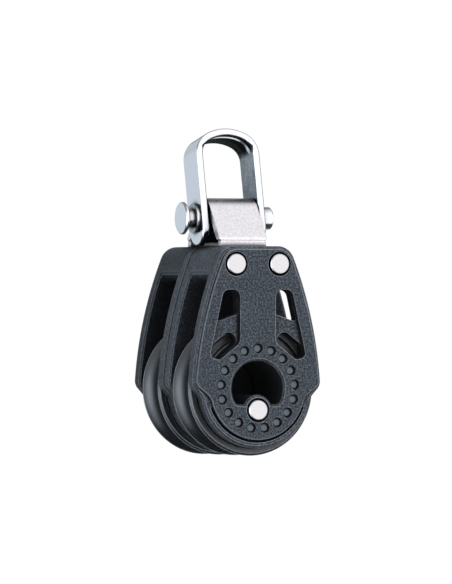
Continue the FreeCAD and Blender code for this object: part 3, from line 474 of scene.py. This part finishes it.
@dataclass(frozen=True)
class EdgeHighlightHollowShade:
    """How a finish gets a painted highlight on its edges and painted shade in its hollows.

    Edges are as wide as their radius and stand out by their gain. A hollow is what has other
    faces within reach, and its floor is how open it still counts inside. Lengths in metres.
    """

    edge_radius: float
    edge_gain: float
    hollow_reach: float
    hollow_floor: float

    def edges(self, sheet: NodeSheet, effects: Effects) -> bpy.types.Node:
        """The edges' group, with its mask and its softened normal."""
        return sheet.use(effects.edges, Radius=self.edge_radius, Gain=self.edge_gain)

    def opened(self, sheet: NodeSheet, effects: Effects) -> Socket:
        """A socket that is 1 in the open and falls to the floor's value in a hollow."""
        node = sheet.use(effects.hollows, Reach=self.hollow_reach, Floor=self.hollow_floor)
        return node.outputs["Open"]


@dataclass(frozen=True)
class Finish:
    """What every finish shares.

    The roughness follows marks in the surface: over their range it changes from the first to
    the second value of the spread, which are added to it.
    """

    name: str
    colour: Colour
    roughness: float
    marks: tuple[float, float] = (0.3, 0.7)
    spread: tuple[float, float] = (-0.05, 0.08)

    def start(self) -> tuple[bpy.types.Material, NodeSheet, bpy.types.Node]:
        """Make the material with its shader.

        Returns:
            The material, its sheet and its Principled shader.
        """
        material = bpy.data.materials.new(self.name)
        material.use_nodes = True
        material.diffuse_color = opaque(self.colour)
        shader = material.node_tree.nodes["Principled BSDF"]
        shader.inputs["Base Color"].default_value = opaque(self.colour)
        shader.inputs["Roughness"].default_value = self.roughness
        return material, NodeSheet(material.node_tree), shader

    def uneven(self, sheet: NodeSheet, marks: Feed) -> Socket:
        """The roughness, as it follows marks in the surface."""
        return sheet.span(marks, *self.marks, *(self.roughness + more for more in self.spread))


@dataclass(frozen=True)
class Ring:
    """Where the dimples of the two cheeks lie. Lengths in metres.

    The face is the cheeks' distance from the middle, the circle the ring's radius, and the
    mouth and the disc of painted highlight on the floor are radii of one dimple.
    """

    centre: Vector
    face: float
    count: int = 17
    circle: float = 8.64 * MM
    mouth: float = 1.13 * MM
    bright: float = 0.75 * MM
    depth: float = 0.6 * MM
    margin: float = 0.04 * MM

    def masks(self, sheet: NodeSheet) -> tuple[Socket, Socket]:
        """Where the dimples' flat floors are, and where their walls and rims are.

        Args:
            sheet: sheet to add to.

        Returns:
            A mask that is 1 on the floors, and one that is 1 on the walls and rims.
        """
        x, y, z = sheet.split(sheet.place(self.centre))
        step = math.tau / self.count
        turn = sheet.math("DIVIDE", sheet.math("ARCTAN2", x, z), step)
        off = sheet.math("SUBTRACT", turn, sheet.math("ROUND", turn))
        beside = sheet.math("MULTIPLY", off, step * self.circle)
        above = sheet.math("SUBTRACT", sheet.length(x, z), self.circle)
        away = sheet.length(beside, above)
        level = sheet.math("ABSOLUTE", y)
        at_floor = sheet.near(level, self.face - self.depth, self.margin)
        # The floor mask carries the painted highlight; the walls and rims carry painted shade.
        floor = sheet.math("MULTIPLY", at_floor, sheet.math("LESS_THAN", away, self.bright))
        within = sheet.near(level, self.face - self.depth / 2, self.depth / 2 + self.margin)
        dimple = sheet.math("MULTIPLY", within, sheet.math("LESS_THAN", away, self.mouth))
        return floor, sheet.math("SUBTRACT", dimple, floor, True)


@dataclass(frozen=True)
class NylonFinish(Finish):
    """Black glass-filled nylon as it leaves a grained mould."""

    spread: tuple[float, float] = (0.08, -0.06)
    light: Colour = (0.118, 0.143, 0.174)
    # edge is a painted highlight on the edges; floor is a painted highlight on the dimple floors.
    edge: Colour = (0.45, 0.48, 0.53)
    floor: Colour = (0.14, 0.163, 0.19)
    floor_grain: float = 0.2
    grain_scale: float = 2700.0
    grain_depth: float = 0.036 * MM
    specular: float = 0.3
    painted_light: EdgeHighlightHollowShade = EdgeHighlightHollowShade(
        edge_radius=0.26 * MM, edge_gain=9.0, hollow_reach=14.0 * MM, hollow_floor=0.04)

    def build(self, effects: Effects, ring: Ring) -> bpy.types.Material:
        """Build the material.

        Args:
            effects: the shared shader groups.
            ring: where the dimples lie.

        Returns:
            The finished material.
        """
        material, sheet, shader = self.start()
        grain = sheet.use(effects.grain, Place=sheet.place(), Scale=self.grain_scale)
        height = grain.outputs["Height"]
        edges = self.painted_light.edges(sheet, effects)
        floors, walls = ring.masks(sheet)
        # The dimple floors are kept out of the painted hollow shade.
        opened = sheet.math("MAXIMUM", self.painted_light.opened(sheet, effects), floors)
        tone = sheet.blend(grain.outputs["Tone"], self.colour, self.light)
        # Painted highlight: the edges are lifted towards a lighter colour.
        edge_highlit = sheet.blend(edges.outputs["Mask"], tone, self.edge)
        # Painted highlight on the dimple floors, painted shade (the darkest tone) on their walls
        # and rims.
        skin = sheet.blend(walls, sheet.blend(floors, edge_highlit, self.floor), self.colour)
        # Painted shade: the colour falls to black in hollows and creases.
        sheet.feed(sheet.blend(opened, BLACK, skin), shader.inputs["Base Color"])
        shader.inputs["Specular IOR Level"].default_value = self.specular
        shiny = sheet.math("SUBTRACT", opened, walls, True)
        sheet.feed(sheet.dulled(self.uneven(sheet, height), shiny), shader.inputs["Roughness"])
        kept = sheet.span(floors, 0.0, 1.0, 1.0, self.floor_grain)
        grained = sheet.bump(sheet.math("MULTIPLY", height, kept), self.grain_depth,
                             edges.outputs["Normal"])
        flat = sheet.add("ShaderNodeNewGeometry").outputs["Normal"]
        sheet.feed(sheet.bend(floors, grained, flat), shader.inputs["Normal"])
        return material


@dataclass(frozen=True)
class SheaveFinish(Finish):
    """Smooth black acetal with the faint rings of its mould."""

    light: Colour = (0.02, 0.025, 0.032)
    # edge and its share paint a highlight on the rims.
    edge: Colour = (0.5, 0.54, 0.59)
    highlight_share: float = 0.9
    pitch: float = 0.35 * MM
    ring_depth: float = 0.004 * MM
    grain_scale: float = 3800.0
    grain_depth: float = 0.005 * MM
    specular: float = 0.85
    painted_light: EdgeHighlightHollowShade = EdgeHighlightHollowShade(
        edge_radius=0.3 * MM, edge_gain=16.0, hollow_reach=1.5 * MM, hollow_floor=0.5)

    def build(self, effects: Effects, centre: Vector) -> bpy.types.Material:
        """Build the material for one sheave.

        Args:
            effects: the shared shader groups.
            centre: middle of the sheave, in metres.

        Returns:
            The finished material.
        """
        material, sheet, shader = self.start()
        around = sheet.place(centre, Axis.Y)
        rings = sheet.use(effects.turning, Place=around, Pitch=self.pitch)
        grain = sheet.use(effects.grain, Place=around, Scale=self.grain_scale)
        edges = self.painted_light.edges(sheet, effects)
        tone = sheet.math("MULTIPLY", rings.outputs["Tone"], grain.outputs["Tone"])
        # Painted highlight on the edges, then painted shade towards black in hollows.
        share = sheet.math("MULTIPLY", edges.outputs["Mask"], self.highlight_share)
        edge_highlit = sheet.blend(share, sheet.blend(tone, self.colour, self.light), self.edge)
        opened = self.painted_light.opened(sheet, effects)
        sheet.feed(sheet.blend(opened, BLACK, edge_highlit), shader.inputs["Base Color"])
        shader.inputs["Specular IOR Level"].default_value = self.specular
        gloss = self.uneven(sheet, rings.outputs["Tone"])
        sheet.feed(sheet.dulled(gloss, opened), shader.inputs["Roughness"])
        fine = sheet.bump(grain.outputs["Height"], self.grain_depth, edges.outputs["Normal"])
        ringed = sheet.bump(rings.outputs["Height"], self.ring_depth, fine)
        sheet.feed(ringed, shader.inputs["Normal"])
        return material


@dataclass(frozen=True)
class Bow:
    """The inside of the shackle's bow, which was never polished: rougher, and darkened by painted
    shade and painted dark reflection.

    Patches and the waver of the lines follow the slow waves of the strip. The crown's painted dark
    reflection lines and painted highlight line are given by their middle, from the front edge, and
    their half width. Lengths in metres, the lean in degrees.
    """

    lean: float = 13.0
    half_width: float = 6.03 * MM
    crown_drop: float = 2.85 * MM
    crown: float = 8.88 * MM
    crown_start: tuple[float, float] = (2.0 * MM, 3.4 * MM)
    front: float = 3.9 * MM
    # Inside colours, darker than bare steel: unpolished steel with painted shade and dark
    # reflection, darkest on the crown.
    dull: Colour = (0.11, 0.125, 0.135)
    streak: Colour = (0.4, 0.42, 0.44)
    crown_painted_shade: Colour = (0.03, 0.037, 0.04)
    crown_shade_streak: Colour = (0.075, 0.09, 0.092)
    # Painted reflection lines on the crown: near-black ones and one painted highlight.
    black: Colour = (0.004, 0.005, 0.008)
    bright: Colour = (0.95, 0.97, 0.98)
    roughness: float = 0.22
    crown_roughness: float = 0.45
    speck_share: float = 0.5
    wave_share: float = 0.6
    patch_waves: tuple[float, float] = (0.35, 0.7)
    waver_waves: tuple[float, float] = (0.3, 0.7)
    waver: float = 0.3 * MM
    painted_dark_lines: tuple[tuple[float, float], ...] = ((0.75 * MM, 0.65 * MM), (3.5 * MM, 1.1 * MM))
    painted_highlight_line: tuple[float, float] = (1.9 * MM, 0.5 * MM)

    def dress(self, sheet: NodeSheet, outside: Socket,
              polish: bpy.types.Node) -> tuple[Socket, Socket]:
        """Add the dull inside of the bow, and the lines along its crown.

        Args:
            sheet: sheet to add to.
            outside: colour of the polished faces.
            Add the dull inside of the bow with its painted shade, and the painted reflection lines
            along its crown.

        Returns:
            The colour, and how much rougher the inside is.
        """
        waves = polish.outputs["Waves"]
        patchy = sheet.weigh(polish.outputs["Specks"], self.speck_share,
                             sheet.span(waves, *self.patch_waves), self.wave_share, True)
        inside, height, across = self.mask(sheet)
        crown = sheet.math("MULTIPLY", inside, sheet.span(height, *self.crown_start))
        wavering = sheet.span(waves, *self.waver_waves, -self.waver, self.waver)
        depth = sheet.math("ADD", sheet.math("ADD", across, self.front), wavering)
        # Painted shade: the inside's sides and crown take dark colours for the shade and dark
        # reflection there.
        sides = sheet.blend(patchy, self.dull, self.streak)
        top = sheet.blend(patchy, self.crown_painted_shade, self.crown_shade_streak)
        colour = sheet.blend(crown, sheet.blend(inside, outside, sides), top)
        # Painted reflection lines: dark ones, then a painted highlight.
        for middle, half in self.painted_dark_lines:
            line = sheet.math("MULTIPLY", crown, sheet.near(depth, middle, half))
            colour = sheet.blend(line, colour, self.black)
        line = sheet.math("MULTIPLY", crown, sheet.near(depth, *self.painted_highlight_line))
        colour = sheet.blend(line, colour, self.bright)
        rough, crown_rough = (sheet.math("SUBTRACT", area, line, True) for area in (inside, crown))
        return colour, sheet.weigh(rough, self.roughness, crown_rough, self.crown_roughness)

    def mask(self, sheet: NodeSheet) -> tuple[Socket, Socket, Socket]:
        """Find the faces inside the bow.

        Args:
            sheet: sheet to add to.

        Returns:
            A mask that is 1 inside the bow, the height along the leaning bow, and the place
            across its strip.
        """
        x, y, z = sheet.split(sheet.place())
        sine, cosine = math.sin(math.radians(self.lean)), math.cos(math.radians(self.lean))
        height = sheet.weigh(y, sine, z, cosine)
        across = sheet.weigh(y, cosine, z, -sine)
        reach = sheet.length(x, sheet.math("ADD", height, self.crown_drop))
        between = sheet.math("LESS_THAN", sheet.math("ABSOLUTE", x), self.half_width)
        below = sheet.math("MAXIMUM", sheet.math("LESS_THAN", reach, self.crown),
                           sheet.math("LESS_THAN", height, 0.0))
        return sheet.math("MULTIPLY", between, below), height, across


@dataclass(frozen=True)
class SteelFinish(Finish):
    """Stainless steel: polished strip, rolled sheet, turned rod or the head of a rivet."""

    marks: tuple[float, float] = (0.35, 0.7)
    axis: Axis = Axis.Z
    turned: bool = False
    pitch: float = 0.25 * MM
    ring_depth: float = 0.003 * MM
    wave_depth: float = 0.012 * MM
    speck_share: float = 0.0
    speck: Colour = (0.62, 0.56, 0.57)
    line: Colour = (0.3, 0.3, 0.31)
    line_half: float = 0.07 * MM
    # Painted highlight: factor by which the edges are lightened. hollow is the painted shade colour
    # in hollows.
    painted_edge_highlight: float = 1.12
    hollow: Colour = (0.02, 0.022, 0.026)
    painted_light: EdgeHighlightHollowShade = EdgeHighlightHollowShade(
        edge_radius=0.18 * MM, edge_gain=4.0, hollow_reach=3.0 * MM, hollow_floor=0.35)

    def build(self, effects: Effects, centre: Vector = ORIGIN, bow: Bow | None = None,
              fold: float | None = None) -> bpy.types.Material:
        """Build the material.

        Args:
            effects: the shared shader groups.
            centre: a point on the axis of the marks, in metres.
            bow: the bow whose inside is duller and painted darker, if the piece has one.
            fold: height in metres at which a dark line is drawn across the piece, at the strap's
                fold, if there is one.

        Returns:
            The finished material.
        """
        material, sheet, shader = self.start()
        shader.inputs["Metallic"].default_value = 1.0
        here = sheet.place(centre, self.axis)
        polish = sheet.use(effects.polish, Place=here)
        edges = self.painted_light.edges(sheet, effects)
        specks = sheet.math("MULTIPLY", polish.outputs["Specks"], self.speck_share)
        # Painted highlight on the edges.
        bright = tuple(min(1.0, self.painted_edge_highlight * part) for part in self.colour)
        colour = sheet.blend(specks, self.colour, self.speck)
        colour = sheet.blend(edges.outputs["Mask"], colour, bright)
        rough = self.uneven(sheet, polish.outputs["Streaks"])
        if fold is not None:
            height = sheet.split(sheet.place())[2]
            colour = sheet.blend(sheet.near(height, fold, self.line_half), colour, self.line)
        if bow:
            colour, rougher = bow.dress(sheet, colour, polish)
            rough = sheet.math("ADD", rough, rougher, True)
        # Painted shade in hollows.
        colour = sheet.blend(self.painted_light.opened(sheet, effects), self.hollow, colour)
        normal = sheet.bump(polish.outputs["Waves"], self.wave_depth, edges.outputs["Normal"])
        if self.turned:
            rings = sheet.use(effects.turning, Place=here, Pitch=self.pitch)
            normal = sheet.bump(rings.outputs["Height"], self.ring_depth, normal)
        for label, source in (("Base Color", colour), ("Roughness", rough), ("Normal", normal)):
            sheet.feed(source, shader.inputs[label])
        return material


@dataclass(frozen=True)
class BallFinish(Finish):
    """Polished white plastic of the bearing balls."""

    marks: tuple[float, float] = (0.2, 0.8)
    spread: tuple[float, float] = (0.0, 0.12)
    shade: Colour = (0.72, 0.7, 0.64)
    grain_scale: float = 5200.0
    cloud_scale: float = 700.0
    grain_depth: float = 0.002 * MM
    translucence: float = 0.1
    light_depth: float = 0.6 * MM

    def build(self, effects: Effects) -> bpy.types.Material:
        """Build the material.

        Args:
            effects: the shared shader groups.

        Returns:
            The finished material.
        """
        material, sheet, shader = self.start()
        grain = sheet.use(effects.grain, Place=sheet.place(), Scale=self.grain_scale,
                          Cloud=self.cloud_scale)
        tone = grain.outputs["Tone"]
        sheet.feed(sheet.blend(tone, self.colour, self.shade), shader.inputs["Base Color"])
        sheet.feed(self.uneven(sheet, tone), shader.inputs["Roughness"])
        normal = sheet.bump(grain.outputs["Height"], self.grain_depth)
        sheet.feed(normal, shader.inputs["Normal"])
        shader.inputs["Subsurface Weight"].default_value = self.translucence
        shader.inputs["Subsurface Scale"].default_value = self.light_depth
        return material


class Block:
    """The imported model: its nodes, and points that the pieces are built about."""

    def __init__(self, nodes: dict[str, bpy.types.Object]) -> None:
        """Keep the nodes.

        Args:
            nodes: node name to object.
        """
        self.nodes = nodes

    def centre(self, node: str) -> Vector:
        """The middle of a node's box, in metres."""
        low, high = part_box(node)
        return (low + high) / 2

    def dress(self, material: bpy.types.Material, *names: str) -> None:
        """Give nodes their material.

        Args:
            material: the finish.
            names: nodes that take it.
        """
        for name in names:
            mesh = self.nodes[name].data
            mesh.materials.clear()
            mesh.materials.append(material)
            LOG.info("%s takes %s", name, material.name)


@dataclass
class HangingGear:
    """The shackle, its pin and the strap that they carry. Lengths in metres."""

    bend_height: float = 1.35 * MM
    shackle: SteelFinish = SteelFinish(
        "polished_stainless", (0.82, 0.83, 0.85), 0.1, wave_depth=0.03 * MM)
    pin: SteelFinish = SteelFinish(
        "turned_stainless", (0.86, 0.87, 0.88), 0.2, axis=Axis.X, turned=True,
        wave_depth=0.002 * MM)
    strap: SteelFinish = SteelFinish(
        "sheet_stainless", (0.97, 0.96, 0.97), 0.34, wave_depth=0.006 * MM, speck_share=0.9,
        speck=(0.8, 0.73, 0.79))
    bow: Bow = Bow()

    def dress(self, block: Block, effects: Effects) -> None:
        """Give the three pieces their steel.

        Args:
            block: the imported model.
            effects: the shared shader groups.
        """
        block.dress(self.shackle.build(effects, bow=self.bow), "shackle")
        block.dress(self.pin.build(effects, block.centre("shackle_pin")), "shackle_pin")
        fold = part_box("rear_cheek")[1].z + self.bend_height
        block.dress(self.strap.build(effects, fold=fold), "head_strap")


@dataclass
class Plates:
    """The four moulded plates and the rivets through them."""

    nylon: NylonFinish = NylonFinish("moulded_nylon", (0.004, 0.006, 0.01), 0.48)
    # Painted shade: the rear cheek gets a darker light tone and less specular.
    rear_shade: float = 0.45
    rear_specular: float = 0.22
    rivet: SteelFinish = SteelFinish(
        "rivet_stainless", (0.72, 0.7, 0.715), 0.3, axis=Axis.Y, turned=True, speck_share=0.2)

    def dress(self, block: Block, effects: Effects) -> None:
        """Give plates and rivets their finishes.

        Args:
            block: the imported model.
            effects: the shared shader groups.
        """
        centre = block.centre("hub_rivet")
        centre.z = block.centre("front_sheave").z
        ring = Ring(centre, centre.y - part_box("front_cheek")[0].y)
        black = self.nylon.build(effects, ring)
        block.dress(black, "front_cheek", "centre_plate_front", "centre_plate_rear")
        # Painted shade: a darker, duller copy of the nylon for the rear cheek.
        light = tuple(part * self.rear_shade for part in self.nylon.light)
        rear = replace(self.nylon, name="rear_nylon_painted_shade", light=light, specular=self.rear_specular)
        block.dress(rear.build(effects, ring), "rear_cheek")
        for name in ("head_rivet_left", "head_rivet_right", "hub_rivet"):
            steel = replace(self.rivet, name=f"{name}_steel")
            block.dress(steel.build(effects, block.centre(name)), name)


@dataclass
class BallRing:
    """One row of balls, each with the fine seam of its mould. Lengths in metres."""

    bay: str
    count: int = 17
    seam: float = 0.02 * MM
    seam_sides: int = 6
    segments: int = 28
    rings: int = 18
    seed: int = 7
    finish: BallFinish = BallFinish("ball_plastic", (0.82, 0.81, 0.77), 0.18)

    def tree(self) -> bpy.types.NodeTree:
        """Build the node tree that sets balls on a circle.

        Returns:
            The tree, with named inputs for its sizes.
        """
        takes = {
            "Count": (Channel.COUNT, None),
            "Circle": (Channel.NUMBER, None),
            "Ball": (Channel.NUMBER, None),
            "Seam": (Channel.NUMBER, None),
            "Centre": (Channel.VECTOR, None),
            "Finish": (Channel.MATERIAL, None),
        }
        sheet, given, out = new_group(f"{self.bay}_ball_ring", "GeometryNodeTree", takes,
                                      {"Geometry": Channel.GEOMETRY})
        size = given.outputs
        upright = sheet.add("GeometryNodeMeshCircle",
                            {"Vertices": size["Count"], "Radius": size["Circle"]},
                            fill_type="NONE").outputs[0]
        for turn in ((0.0, 0.0, math.pi / 2), (math.pi / 2, 0.0, 0.0)):
            feeds = {"Geometry": upright, "Rotation": turn}
            upright = sheet.add("GeometryNodeTransform", feeds).outputs[0]
        ball = sheet.add("GeometryNodeMeshUVSphere", {
            "Segments": self.segments, "Rings": self.rings, "Radius": size["Ball"]})
        path = sheet.add("GeometryNodeCurvePrimitiveCircle", {
            "Resolution": self.segments, "Radius": size["Ball"]})
        bead = sheet.add("GeometryNodeCurvePrimitiveCircle", {
            "Resolution": self.seam_sides, "Radius": size["Seam"]})
        seam = sheet.add("GeometryNodeCurveToMesh", {
            "Curve": path.outputs[0], "Profile Curve": bead.outputs[0]})
        whole = sheet.add("GeometryNodeJoinGeometry")
        for part in (ball, seam):
            sheet.feed(part.outputs[0], whole.inputs[0])
        angle = sheet.add("FunctionNodeRandomValue", data_type="FLOAT_VECTOR")
        for label, value in ((0, (0.0,) * 3), (1, (math.tau,) * 3), ("Seed", self.seed)):
            sheet.feed(value, angle.inputs[label])
        row = sheet.add("GeometryNodeInstanceOnPoints", {
            "Points": upright, "Instance": whole.outputs[0], "Rotation": angle.outputs[0]})
        moved = sheet.add("GeometryNodeTransform", {
            "Geometry": row.outputs[0], "Translation": size["Centre"]})
        real = sheet.add("GeometryNodeRealizeInstances", {0: moved.outputs[0]})
        smooth = sheet.add("GeometryNodeSetShadeSmooth", {0: real.outputs[0]})
        dressed = sheet.add("GeometryNodeSetMaterial", {
            "Geometry": smooth.outputs[0], "Material": size["Finish"]})
        sheet.feed(dressed.outputs[0], out.inputs[0])
        return sheet.tree

    def build(self, block: Block, effects: Effects) -> None:
        """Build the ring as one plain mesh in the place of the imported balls.

        Args:
            block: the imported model.
            effects: the shared shader groups.
        """
        names = [f"{self.bay}_ball_{number + 1:02d}" for number in range(self.count)]
        centres = [block.centre(name) for name in names]
        middle = sum(centres, ORIGIN) / len(centres)
        low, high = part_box(names[0])
        values = {
            "Count": self.count,
            "Circle": (centres[0] - middle).length,
            "Ball": (high.z - low.z) / 2 - self.seam,
            "Seam": self.seam,
            "Centre": tuple(middle),
            "Finish": self.finish.build(effects),
        }
        tree = self.tree()
        pattern = bpy.data.objects.new(
            f"{self.bay}_ball_pattern", bpy.data.meshes.new("ball_pattern"))
        bpy.context.scene.collection.objects.link(pattern)
        modifier = pattern.modifiers.new("ring", "NODES")
        modifier.node_group = tree
        for item in tree.interface.items_tree:
            if item.in_out == "INPUT":
                modifier[item.identifier] = values[item.name]
        ready = pattern.evaluated_get(bpy.context.evaluated_depsgraph_get())
        ring = bpy.data.objects.new(
            f"{self.bay}_ball_row", bpy.data.meshes.new_from_object(ready))
        bpy.data.objects.remove(pattern)
        bpy.context.scene.collection.objects.link(ring)
        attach(ring, f"{self.bay}_balls")
        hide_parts(*names)
        triangles = sum(len(face.vertices) - 2 for face in ring.data.polygons)
        LOG.info("%s has %d triangles", ring.name, triangles)


@dataclass
class Sheaves:
    """The two sheaves."""

    acetal: SheaveFinish = SheaveFinish("sheave_acetal", (0.008, 0.011, 0.016), 0.26)

    def dress(self, block: Block, effects: Effects) -> None:
        """Give each sheave its acetal, with rings about its own axis.

        Args:
            block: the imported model.
            effects: the shared shader groups.
        """
        for name in ("front_sheave", "rear_sheave"):
            acetal = replace(self.acetal, name=f"{name}_acetal")
            block.dress(acetal.build(effects, block.centre(name)), name)


@dataclass(frozen=True)
class Panel:
    """A brighter or darker part of the tent that only reflections see.

    It starts at one cosine from its heading and is full at the other.
    """

    heading: tuple[float, float, float]
    start: float
    full: float
    colour: Colour


@dataclass(frozen=True)
class Lamp:
    """A soft square lamp, so far to the camera's right, ahead and up from the sheaves' middle.

    Lengths in metres, the power in watts.
    """

    name: str
    right: float
    ahead: float
    up: float
    size: float
    power: float

    def hang(self, middle: Vector, right: Vector, ahead: Vector) -> None:
        """Add the lamp, facing the middle.

        Args:
            middle: middle of the sheaves.
            right: direction to the camera's right.
            ahead: direction in which the camera looks.
        """
        data = bpy.data.lights.new(self.name, "AREA")
        data.shape, data.size, data.energy = "SQUARE", self.size, self.power
        lamp = bpy.data.objects.new(self.name, data)
        offset = right * self.right + ahead * self.ahead + UP * self.up
        lamp.location = middle + offset
        lamp.rotation_euler = (-offset).to_track_quat("-Z", "Y").to_euler()
        lamp.visible_glossy = False
        bpy.context.scene.collection.objects.link(lamp)


@dataclass
class Studio:
    """Floor, lamps, world and camera. Lengths in metres, angles in degrees.

    Each panel of the tent lies over those before it.
    """

    distance: float = 1.85
    azimuth: float = -23.2
    pitch: float = 0.196
    eye_drop: float = 16.21 * MM
    sideways: float = -0.2 * MM
    lens: float = 523.4
    clip: tuple[float, float] = (0.05, 50.0)
    floor_height: float = -0.16
    floor_reach: float = 6.0
    floor_colour: Colour = (0.86, 0.86, 0.86)
    floor_roughness: float = 0.9
    shadow_reach: float = 0.9
    glow_share: tuple[float, float] = (0.75, 1.0)
    glow: tuple[float, float] = (1.05, 1.01)
    ambient: Colour = (0.035, 0.04, 0.05)
    tent_dark: Colour = (0.1, 0.11, 0.12)
    tent: tuple[Panel, ...] = (
        Panel((-0.39, 0.92, -0.05), 0.84, 0.97, (0.64, 0.71, 0.78)),
        Panel((0.0, 0.92, 0.38), 0.9, 0.98, (0.55, 0.6, 0.66)),
        Panel((0.0, 0.2, 1.0), 0.5, 0.9, (0.3, 0.31, 0.33)),
        Panel((0.3, -0.9, 0.3), 0.0, 0.9, (1.28, 1.28, 1.3)),
        Panel((0.3, 0.83, -0.46), 0.94, 0.98, (0.8, 0.84, 0.86)),
        Panel((-0.3, -0.3, -0.9), 0.5, 0.8, (0.02, 0.022, 0.026)),
        Panel((-0.75, -0.46, -0.45), 0.9, 0.98, (1.6, 1.8, 2.0)),
        Panel((-0.82, -0.48, 0.3), 0.9, 0.98, (1.3, 1.45, 1.6)),
        Panel((-0.86, -0.48, -0.1), 0.9, 0.98, (3.1, 3.5, 3.9)),
    )
    lamps: tuple[Lamp, ...] = (
        Lamp("key", 0.5, -0.7, 0.7, 0.6, 9.0),
        Lamp("side", -0.8, -0.1, 0.35, 0.5, 1.6),
        Lamp("top", 0.0, 0.2, 0.9, 0.7, 5.0),
    )

    def camera(self, target: Vector, right: Vector, ahead: Vector) -> None:
        """Set up the camera.

        Args:
            target: middle of the top of the head, which sets the height of the eye too.
            right: direction to the camera's right.
            ahead: direction in which the camera looks.
        """
        data = bpy.data.cameras.new("camera")
        data.lens = self.lens
        data.clip_start, data.clip_end = self.clip
        eye = bpy.data.objects.new("camera", data)
        eye.location = (target - ahead * self.distance + right * self.sideways
                        - UP * self.eye_drop)
        eye.rotation_euler = (math.radians(90.0 + self.pitch), 0.0, math.radians(self.azimuth))
        bpy.context.scene.collection.objects.link(eye)
        bpy.context.scene.camera = eye

    def world(self) -> None:
        """A white world to the camera, a dim one as a light, and to reflections the tent."""
        world = bpy.data.worlds.new("studio")
        bpy.context.scene.world = world
        world.use_nodes = True
        sheet = NodeSheet(world.node_tree)
        shade = world.node_tree.nodes["Background"]
        rays = sheet.add("ShaderNodeLightPath").outputs
        way = sheet.add("ShaderNodeTexCoord").outputs["Generated"]
        tent = self.tent_dark
        for panel in self.tent:
            cosine = sheet.facing(way, tuple(Vector(panel.heading).normalized()))
            tent = sheet.blend(sheet.span(cosine, panel.start, panel.full), tent, panel.colour)
        seen = sheet.math("MAXIMUM", rays["Is Camera Ray"], rays["Is Transmission Ray"])
        lit = sheet.blend(rays["Is Glossy Ray"], self.ambient, tent)
        sheet.feed(sheet.blend(seen, lit, WHITE), shade.inputs["Color"])
        shade.inputs["Strength"].default_value = 1.0

    def floor(self) -> None:
        """Add the pale floor, white to the camera except where the block's shadow falls."""
        mesh = bpy.data.meshes.new("floor")
        ends = (-self.floor_reach, self.floor_reach)
        corners = [(x, y, self.floor_height) for y in ends for x in ends]
        mesh.from_pydata(corners, [], [(0, 1, 3, 2)])
        floor = bpy.data.objects.new("floor", mesh)
        bpy.context.scene.collection.objects.link(floor)
        material = bpy.data.materials.new("pale_floor")
        material.use_nodes = True
        sheet = NodeSheet(material.node_tree)
        shader = material.node_tree.nodes["Principled BSDF"]
        shader.inputs["Base Color"].default_value = opaque(self.floor_colour)
        shader.inputs["Roughness"].default_value = self.floor_roughness
        here = sheet.add("ShaderNodeTexCoord").outputs["Object"]
        away = sheet.add("ShaderNodeVectorMath", {0: here}, operation="LENGTH").outputs["Value"]
        share = sheet.span(away, self.shadow_reach / 2, self.shadow_reach, *self.glow_share)
        strength = sheet.span(share, *self.glow_share, *self.glow)
        glow = sheet.add("ShaderNodeEmission", {"Strength": strength})
        camera_ray = sheet.add("ShaderNodeLightPath").outputs["Is Camera Ray"]
        mixed = sheet.add("ShaderNodeMixShader", {
            0: sheet.math("MULTIPLY", camera_ray, share), 1: shader.outputs[0], 2: glow.outputs[0]})
        output = material.node_tree.nodes["Material Output"]
        sheet.feed(mixed.outputs[0], output.inputs["Surface"])
        mesh.materials.append(material)
        floor.visible_glossy = False

    def build(self, block: Block) -> None:
        """Set up the studio round the block.

        Args:
            block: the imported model.
        """
        angle = math.radians(-self.azimuth)
        ahead = Vector((math.sin(angle), math.cos(angle), 0.0))
        right = Vector((ahead.y, -ahead.x, 0.0))
        middle = (block.centre("front_sheave") + block.centre("rear_sheave")) / 2
        head = Vector((middle.x, middle.y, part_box("front_cheek")[1].z))
        self.camera(head, right, ahead)
        self.world()
        self.floor()
        for lamp in self.lamps:
            lamp.hang(middle, right, ahead)
        bpy.context.scene.view_settings.view_transform = "Standard"


def main() -> None:
    """Build the visual model in order."""
    logging.basicConfig(level=logging.INFO, format="%(message)s")
    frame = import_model()
    block = Block(frame["nodes"])
    effects = Effects()
    for pieces in (HangingGear(), Plates(), Sheaves()):
        pieces.dress(block, effects)
    for bay in ("front", "rear"):
        BallRing(bay).build(block, effects)
    Studio().build(block)


if __name__ == "__main__":
    main()
